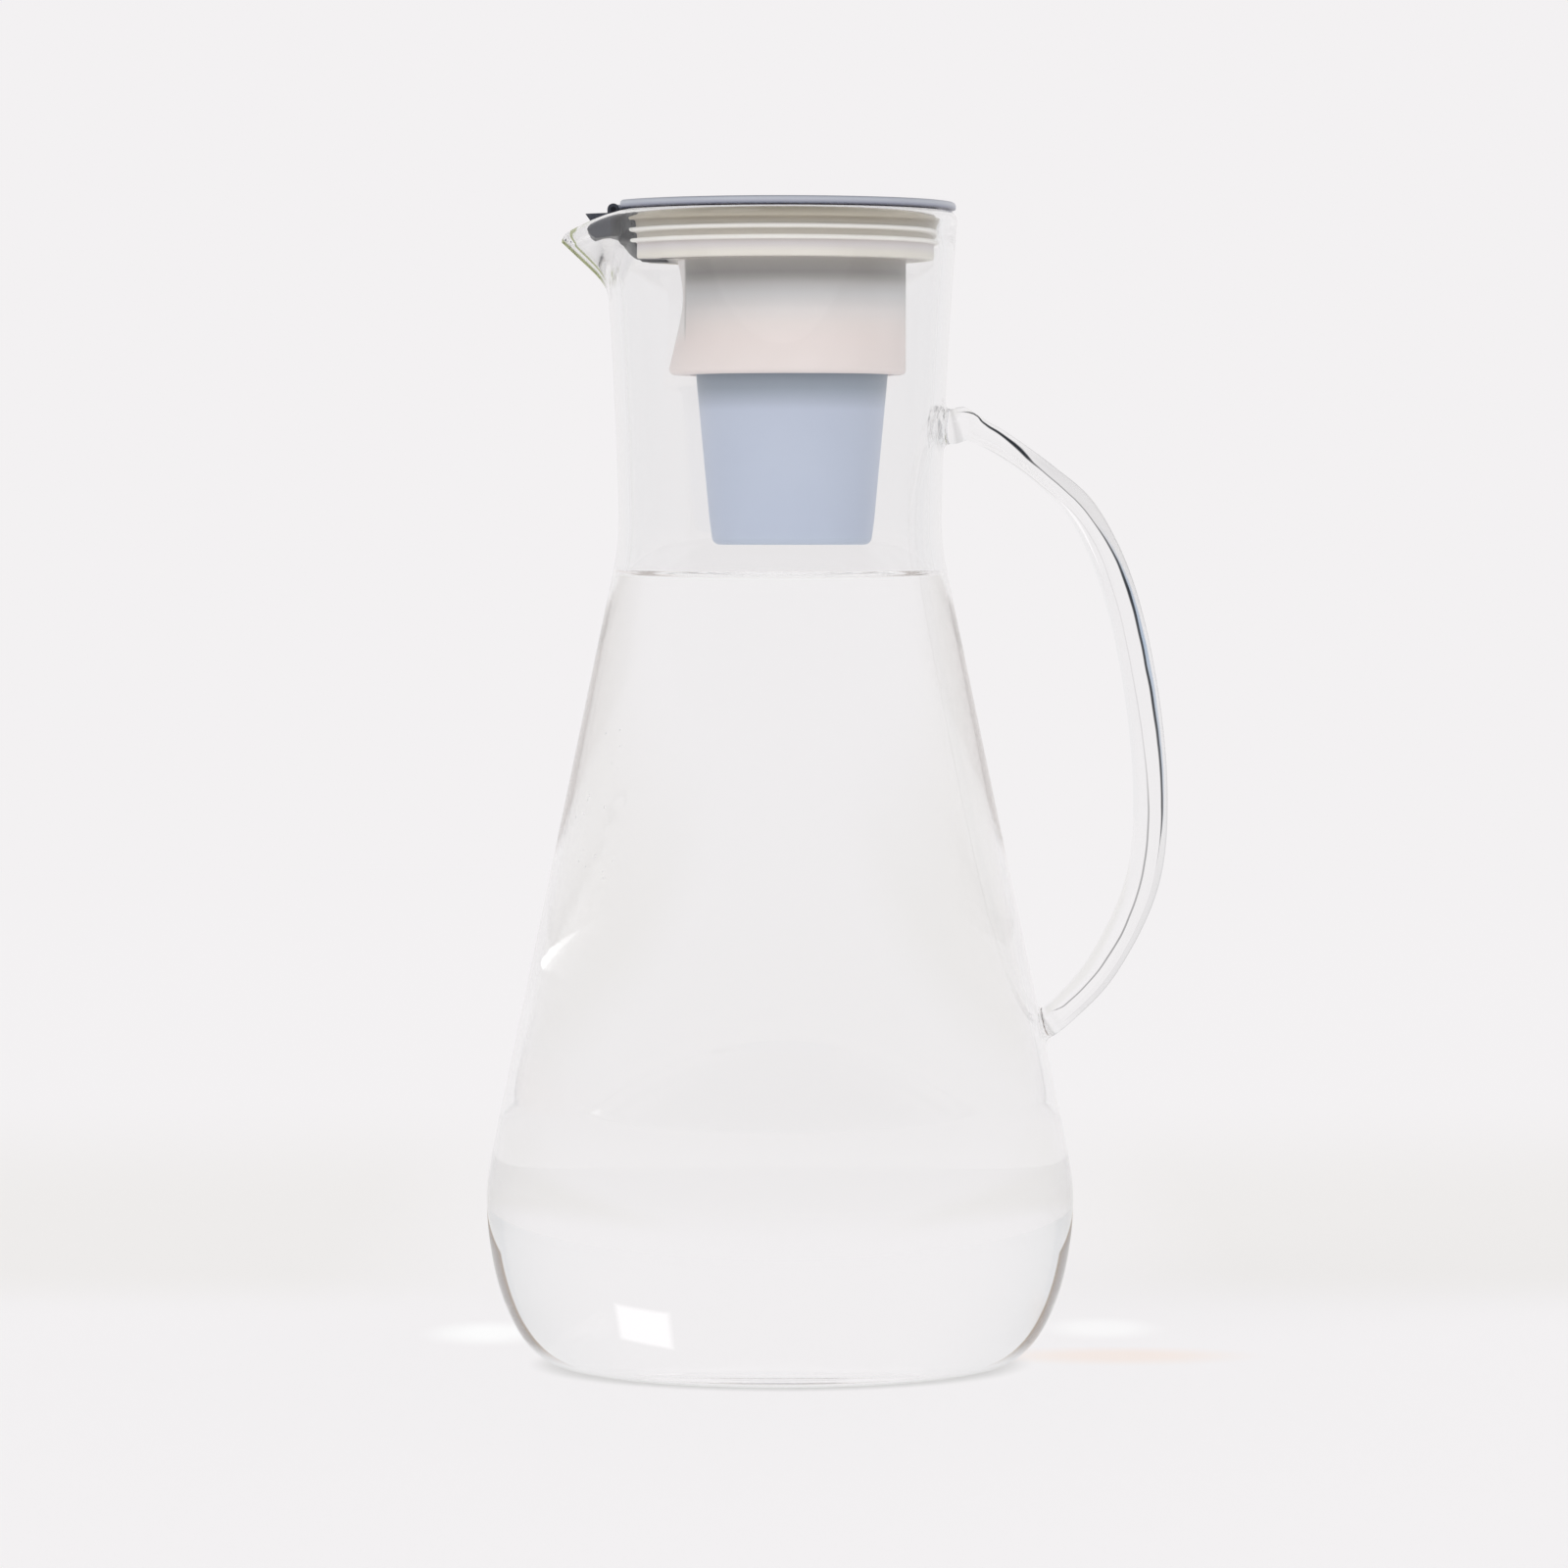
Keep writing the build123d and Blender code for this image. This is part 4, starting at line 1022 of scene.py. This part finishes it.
def build_seal():
    """The sleeve, swept round the plug and open at the spout."""
    section = seal_section()
    # the sweep lays a section's X outwards along the ring's radius and its Y downwards
    mesh = bpy.data.meshes.new("lid_seal_sleeve")
    corners = [(out * MM, (SEAL_FOOT_Z - z) * MM, 0.0) for out, z in section]
    mesh.from_pydata(corners, [(i, (i + 1) % len(section)) for i in range(len(section))], [])
    made = bpy.data.objects.new("lid_seal_sleeve", mesh)
    bpy.context.scene.collection.objects.link(made)
    values = {"Ring radius": PLUG_R * MM, "Gap angle": SEAL_GAP_ANGLE, "Steps": 200}
    values |= {"Height": SEAL_FOOT_Z * MM, "Material": seal_silicone}
    run_group(made, *swept_sleeve_tree(), values)
    square_the_ends(made)
    return made


seal = build_seal()
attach(seal, "lid")
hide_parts("lid_seal")

# ---------------------------------------------------------------- filter holder and cartridge


def build_holder():
    """Tube with a flared foot on the spout side. Its outside runs straight down at the handle side."""
    # as (radius, z): the flange, down the outside, round the foot and up the inside
    flange = [(21.4, 242.2), (21.6, 242.4), (26.2, 242.4), (26.4, 242.2), (26.4, 240.2), (24.0, 240.2)]
    waist = smooth_track([(24.0, 232.5), (23.5, 223.5), (24.9, 210.0)], 9)
    foot = [(24.9, 209.4), (24.75, 209.0), (24.4, 208.66), (23.9, 208.5)]
    bore = [(21.7, 208.5), (21.45, 208.7), (21.4, 209.2), (21.4, 222.0)]
    bore += [(19.4, 222.0), (19.4, 223.4), (21.4, 223.4)]
    handle_side_x, foot_x = 26.5, 1.6
    rings = [(FILTER_X, r, z) for r, z in flange] + [(handle_side_x - r, r, z) for r, z in waist]
    rings += [(foot_x, r, z) for r, z in foot] + [(FILTER_X, r, z) for r, z in bore]
    steps = 160
    vertices = [v for centre_x, r, z in rings for v in circle(r, z, steps, centre_x)]
    faces = grid_faces(len(rings), steps)
    last = (len(rings) - 1) * steps
    faces += [(last + s, last + (s + 1) % steps, (s + 1) % steps, s) for s in range(steps)]
    return make_object("filter_holder_tube", vertices, faces, [holder_natural])


def split_sharp(piece, degrees=34):
    """Keeps hard corners crisp on a smooth-shaded piece."""
    shape = bmesh.new()
    shape.from_mesh(piece.data)
    for edge in shape.edges:
        edge.smooth = edge.calc_face_angle(0) < math.radians(degrees)
    shape.to_mesh(piece.data)
    shape.free()


holder = build_holder()
split_sharp(holder)
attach(holder, "lid")
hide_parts("filter_holder")


def build_cup():
    """Tapered cup, solid to the eye: outer skin with a rounded foot, closed over the cap's seat."""
    foot_r, foot_z, top_r, top_z = 16.85, 172.7, 20.4, 211.0
    taper = (top_r - foot_r) / (top_z - foot_z)
    foot = arc_points((15.15, 174.4), 1.7, -math.pi / 2, math.atan(-taper), 8)
    shape = [(0.0, foot_z), (8.0, foot_z)] + foot
    shape += [(foot_r + taper * (z - foot_z), z) for z in (178.0, 186.0, 195.0, 204.0, top_z)]
    shape += [(21.3, 211.9), (21.3, 214.35), (20.16, 214.35), (20.16, 215.65), (21.3, 215.65), (21.3, 221.8)]
    shape += [(20.3, 221.8), (20.3, 219.8), (19.72, 219.8), (15.5, 174.3), (0.0, 174.3)]
    return turn("cartridge_cup_shell", shape, cup_blue, FILTER_X, 160)


cup = build_cup()
split_sharp(cup)
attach(cup, "cartridge")
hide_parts("cartridge_cup")

# ---------------------------------------------------------------- materials of the CAD nodes

NODE_MATERIALS = {
    "glass_carafe": borosilicate,
    "glass_handle": borosilicate,
    "lid_body": slate,
    "lid_seal": seal_silicone,
    "flip_lid": slate,
    "hinge_pin": pin_steel,
    "filter_holder": holder_natural,
    "holder_seal": ring_rubber,
    "cartridge_cup": cup_blue,
    "cartridge_cap": cap_white,
    "cartridge_seal": ring_rubber,
    "inlet_screen": mesh_nylon,
    "inlet_pad": felt,
    "carbon_bed": carbon,
    "outlet_pad": felt,
    "outlet_screen": mesh_nylon,
}
for node_name, material in NODE_MATERIALS.items():
    for material_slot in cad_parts[node_name].material_slots:
        material_slot.material = material

# ---------------------------------------------------------------- floor, surroundings, lamps and camera

BACKGROUND = "#F3F1F2"


def build_floor():
    """Pale paper floor whose tone runs into that of the surroundings far behind the pitcher."""
    steps, radii = 96, [40, 90, 150, 260, 450, 800, 1400, 2400]
    # just under the base, so that the two don't lie in one plane
    level = -0.2
    vertices = [(0.0, 0.0, level)] + [v for r in radii for v in circle(r, level, steps)]
    faces = [(0, 1 + s, 1 + (s + 1) % steps) for s in range(steps)]
    faces += [tuple(1 + i for i in face) for face in grid_faces(len(radii), steps)]
    material, node = start_material("paper_sweep")
    place = node("TexCoord").outputs["Object"]
    flat = node("VectorMath", {0: place, 1: (1.0, 1.0, 0.0)}, operation="MULTIPLY")
    away = node("VectorMath", {0: flat}, operation="LENGTH")
    eased = {"interpolation_type": "SMOOTHSTEP"}
    # beyond 1.3 m from the pitcher the paper passes into the background, places here being in metres
    fade = node("MapRange", {0: away.outputs["Value"], 1: 1.3, 2: 2.35}, **eased)
    # painted shade: the paper is a little greyer behind the pitcher
    depth = node("SeparateXYZ", {0: place})
    near = node("MapRange", {0: depth.outputs["Y"], 1: 0.09, 2: 0.2}, **eased)
    far = node("MapRange", {0: depth.outputs["Y"], 1: 0.75, 2: 0.35}, **eased)
    side = node("Math", {0: depth.outputs["X"]}, operation="ABSOLUTE")
    beside = node("MapRange", {0: side, 1: 0.07, 2: 0.11, 3: 0.3})
    shade = node("Math", {0: near, 1: far}, operation="MULTIPLY")
    shade = node("Math", {0: shade, 1: beside}, operation="MULTIPLY")
    colour = node("Mix", {0: shade, 6: linear(BACKGROUND), 7: linear("#EEECEB")}, data_type="RGBA")
    # painted light gathered by the glass, as (x, y, half width, half depth, tone, amount): pale pools behind
    # the base and a warm one at the right
    for x, y, wide, deep, tone, amount in (
        (-64.0, 60.0, 17.0, 30.0, "#FFFFFF", 0.9),
        (71.0, 70.0, 16.0, 28.0, "#FFFFFF", 0.6),
        (72.0, 14.0, 34.0, 22.0, "#F6E4D8", 0.5),
        (0.0, 70.0, 46.0, 60.0, "#FFFFFF", 0.6),
    ):
        shifted = node("VectorMath", {0: place, 1: (-x * MM, -y * MM, 0.0)}, operation="ADD")
        scale = (1 / (wide * MM), 1 / (deep * MM), 0.0)
        scaled = node("VectorMath", {0: shifted, 1: scale}, operation="MULTIPLY")
        size = node("VectorMath", {0: scaled}, operation="LENGTH")
        pool = node("MapRange", {0: size.outputs["Value"], 1: 1.0, 2: 0.2, 4: amount}, **eased)
        colour = node("Mix", {0: pool, 6: colour, 7: linear(tone)}, data_type="RGBA")
    # soft shadow where the glass stands on the paper
    edge = node("MapRange", {0: away.outputs["Value"], 1: 0.054, 2: 0.0455, 4: 0.85}, **eased)
    outside = node("MapRange", {0: away.outputs["Value"], 1: 0.0445, 2: 0.0455})
    contact = node("Math", {0: edge, 1: outside}, operation="MULTIPLY")
    colour = node("Mix", {0: contact, 6: colour, 7: linear("#CFCECD")}, data_type="RGBA")
    paper = node("BsdfDiffuse", {"Color": colour})
    gone = node("Emission", {"Color": linear(BACKGROUND), "Strength": 1.0})
    mix = node("MixShader", {0: fade, 1: paper, 2: gone})
    node("OutputMaterial", {"Surface": mix})
    return make_object("floor", vertices, faces, [material])


floor = build_floor()

WORLD_LIGHT = 1.12
# what glass shows of the room, as (depth of the ray's direction, tone)
ROOM = [
    (-0.4, "#AAA9AA"), (-0.2, "#E4E6E8"), (0.655, "#E6E7E9"), (0.675, "#EDEDEE"), (0.96, "#F3F1F2"),
    (1.0, "#F3F1F2"),
]
# a panel far behind the pitcher that is brighter than the paper, as (x, z) of the ray's direction
PANEL_AT = (0.252, 0.122)
PANEL_HALF = (0.064, 0.042)
PANEL_GAIN = 0.17


def build_surroundings():
    """The paper's tone for what is seen, straight or through glass, and soft white light for what is lit."""
    world = bpy.data.worlds.new("studio")
    bpy.context.scene.world = world
    world.use_nodes = True
    world.node_tree.nodes.clear()
    node = partial(add_node, world.node_tree)
    ray = node("LightPath").outputs
    seen = node("Math", {0: ray["Is Camera Ray"], 1: ray["Is Glossy Ray"]}, operation="ADD")
    seen = node("Math", {0: seen, 1: ray["Is Transmission Ray"]}, operation="ADD")
    first = node("Math", {0: ray["Diffuse Depth"], 1: 0.5}, operation="LESS_THAN")
    shown = node("Math", {0: seen, 1: first}, operation="MULTIPLY", use_clamp=True)
    look = node("TexCoord").outputs["Generated"]
    parts = node("SeparateXYZ", {0: look}).outputs
    low, high = ROOM[0][0], ROOM[-1][0]
    share = node("MapRange", {0: parts["Y"], 1: low, 2: high})
    room = node("ValToRGB", {0: share})
    fill_ramp(room, [((depth - low) / (high - low), linear(tone)) for depth, tone in ROOM])
    # the panel shows only through glass and only ahead of the camera
    panel = node("VectorMath", {0: look, 1: (-PANEL_AT[0], 0.0, -PANEL_AT[1])}, operation="ADD")
    scale = (1 / PANEL_HALF[0], 0.0, 1 / PANEL_HALF[1])
    panel = node("VectorMath", {0: panel, 1: scale}, operation="MULTIPLY")
    panel = node("VectorMath", {0: panel}, operation="ABSOLUTE")
    panel = node("SeparateXYZ", {0: panel}).outputs
    panel = node("Math", {0: panel["X"], 1: panel["Z"]}, operation="MAXIMUM")
    panel = node("MapRange", {0: panel, 1: 1.0, 2: 0.8, 4: PANEL_GAIN})
    ahead = node("Math", {0: parts["Y"], 1: 0.0}, operation="GREATER_THAN")
    panel = node("Math", {0: panel, 1: ahead}, operation="MULTIPLY")
    panel = node("Math", {0: panel, 1: ray["Is Transmission Ray"]}, operation="MULTIPLY")
    level = node("Math", {0: 1.0, 1: panel}, operation="ADD")
    seen_through = {0: ray["Is Transmission Ray"], 6: linear(BACKGROUND), 7: room}
    tone = node("Mix", seen_through, data_type="RGBA")
    # a little less light comes from both sides than from the front and from above
    aside = node("Math", {0: parts["X"], 1: parts["X"]}, operation="MULTIPLY")
    soft = node("Math", {0: aside, 1: -0.65 * WORLD_LIGHT, 2: WORLD_LIGHT}, operation="MULTIPLY_ADD")
    lit = node("Background", {"Color": grey(1.0), "Strength": soft})
    backdrop = node("Background", {"Color": tone, "Strength": level})
    both = node("MixShader", {0: shown, 1: lit, 2: backdrop})
    node("OutputWorld", {"Surface": both})


build_surroundings()

lamp = bpy.data.lights.new("large_soft_lamp", "SUN")
lamp.energy = 0.28
lamp.angle = math.radians(30)
lamp_holder = bpy.data.objects.new("large_soft_lamp", lamp)
lamp_holder.rotation_euler = Vector((0.55, 0.75, -1.0)).to_track_quat("-Z", "Y").to_euler()
lamp_holder.visible_transmission = False
bpy.context.scene.collection.objects.link(lamp_holder)

# the photograph's long lens, a little above the water's level, tilted down by 1.92 degrees
camera = bpy.data.cameras.new("camera")
camera.sensor_width = 36.0
camera.lens = 171.0
camera_holder = bpy.data.objects.new("camera", camera)
camera_holder.location = (0.83 * MM, -1570 * MM, 175 * MM)
camera_holder.rotation_euler = (math.radians(90 - 1.92), 0, 0)
bpy.context.scene.collection.objects.link(camera_holder)
bpy.context.scene.camera = camera_holder
bpy.context.scene.view_settings.view_transform = "Standard"
# light goes to and fro many times inside thick glass and water
light_paths = bpy.context.scene.cycles
light_paths.max_bounces = 28
light_paths.glossy_bounces = 20
light_paths.transmission_bounces = 24
light_paths.transparent_max_bounces = 24
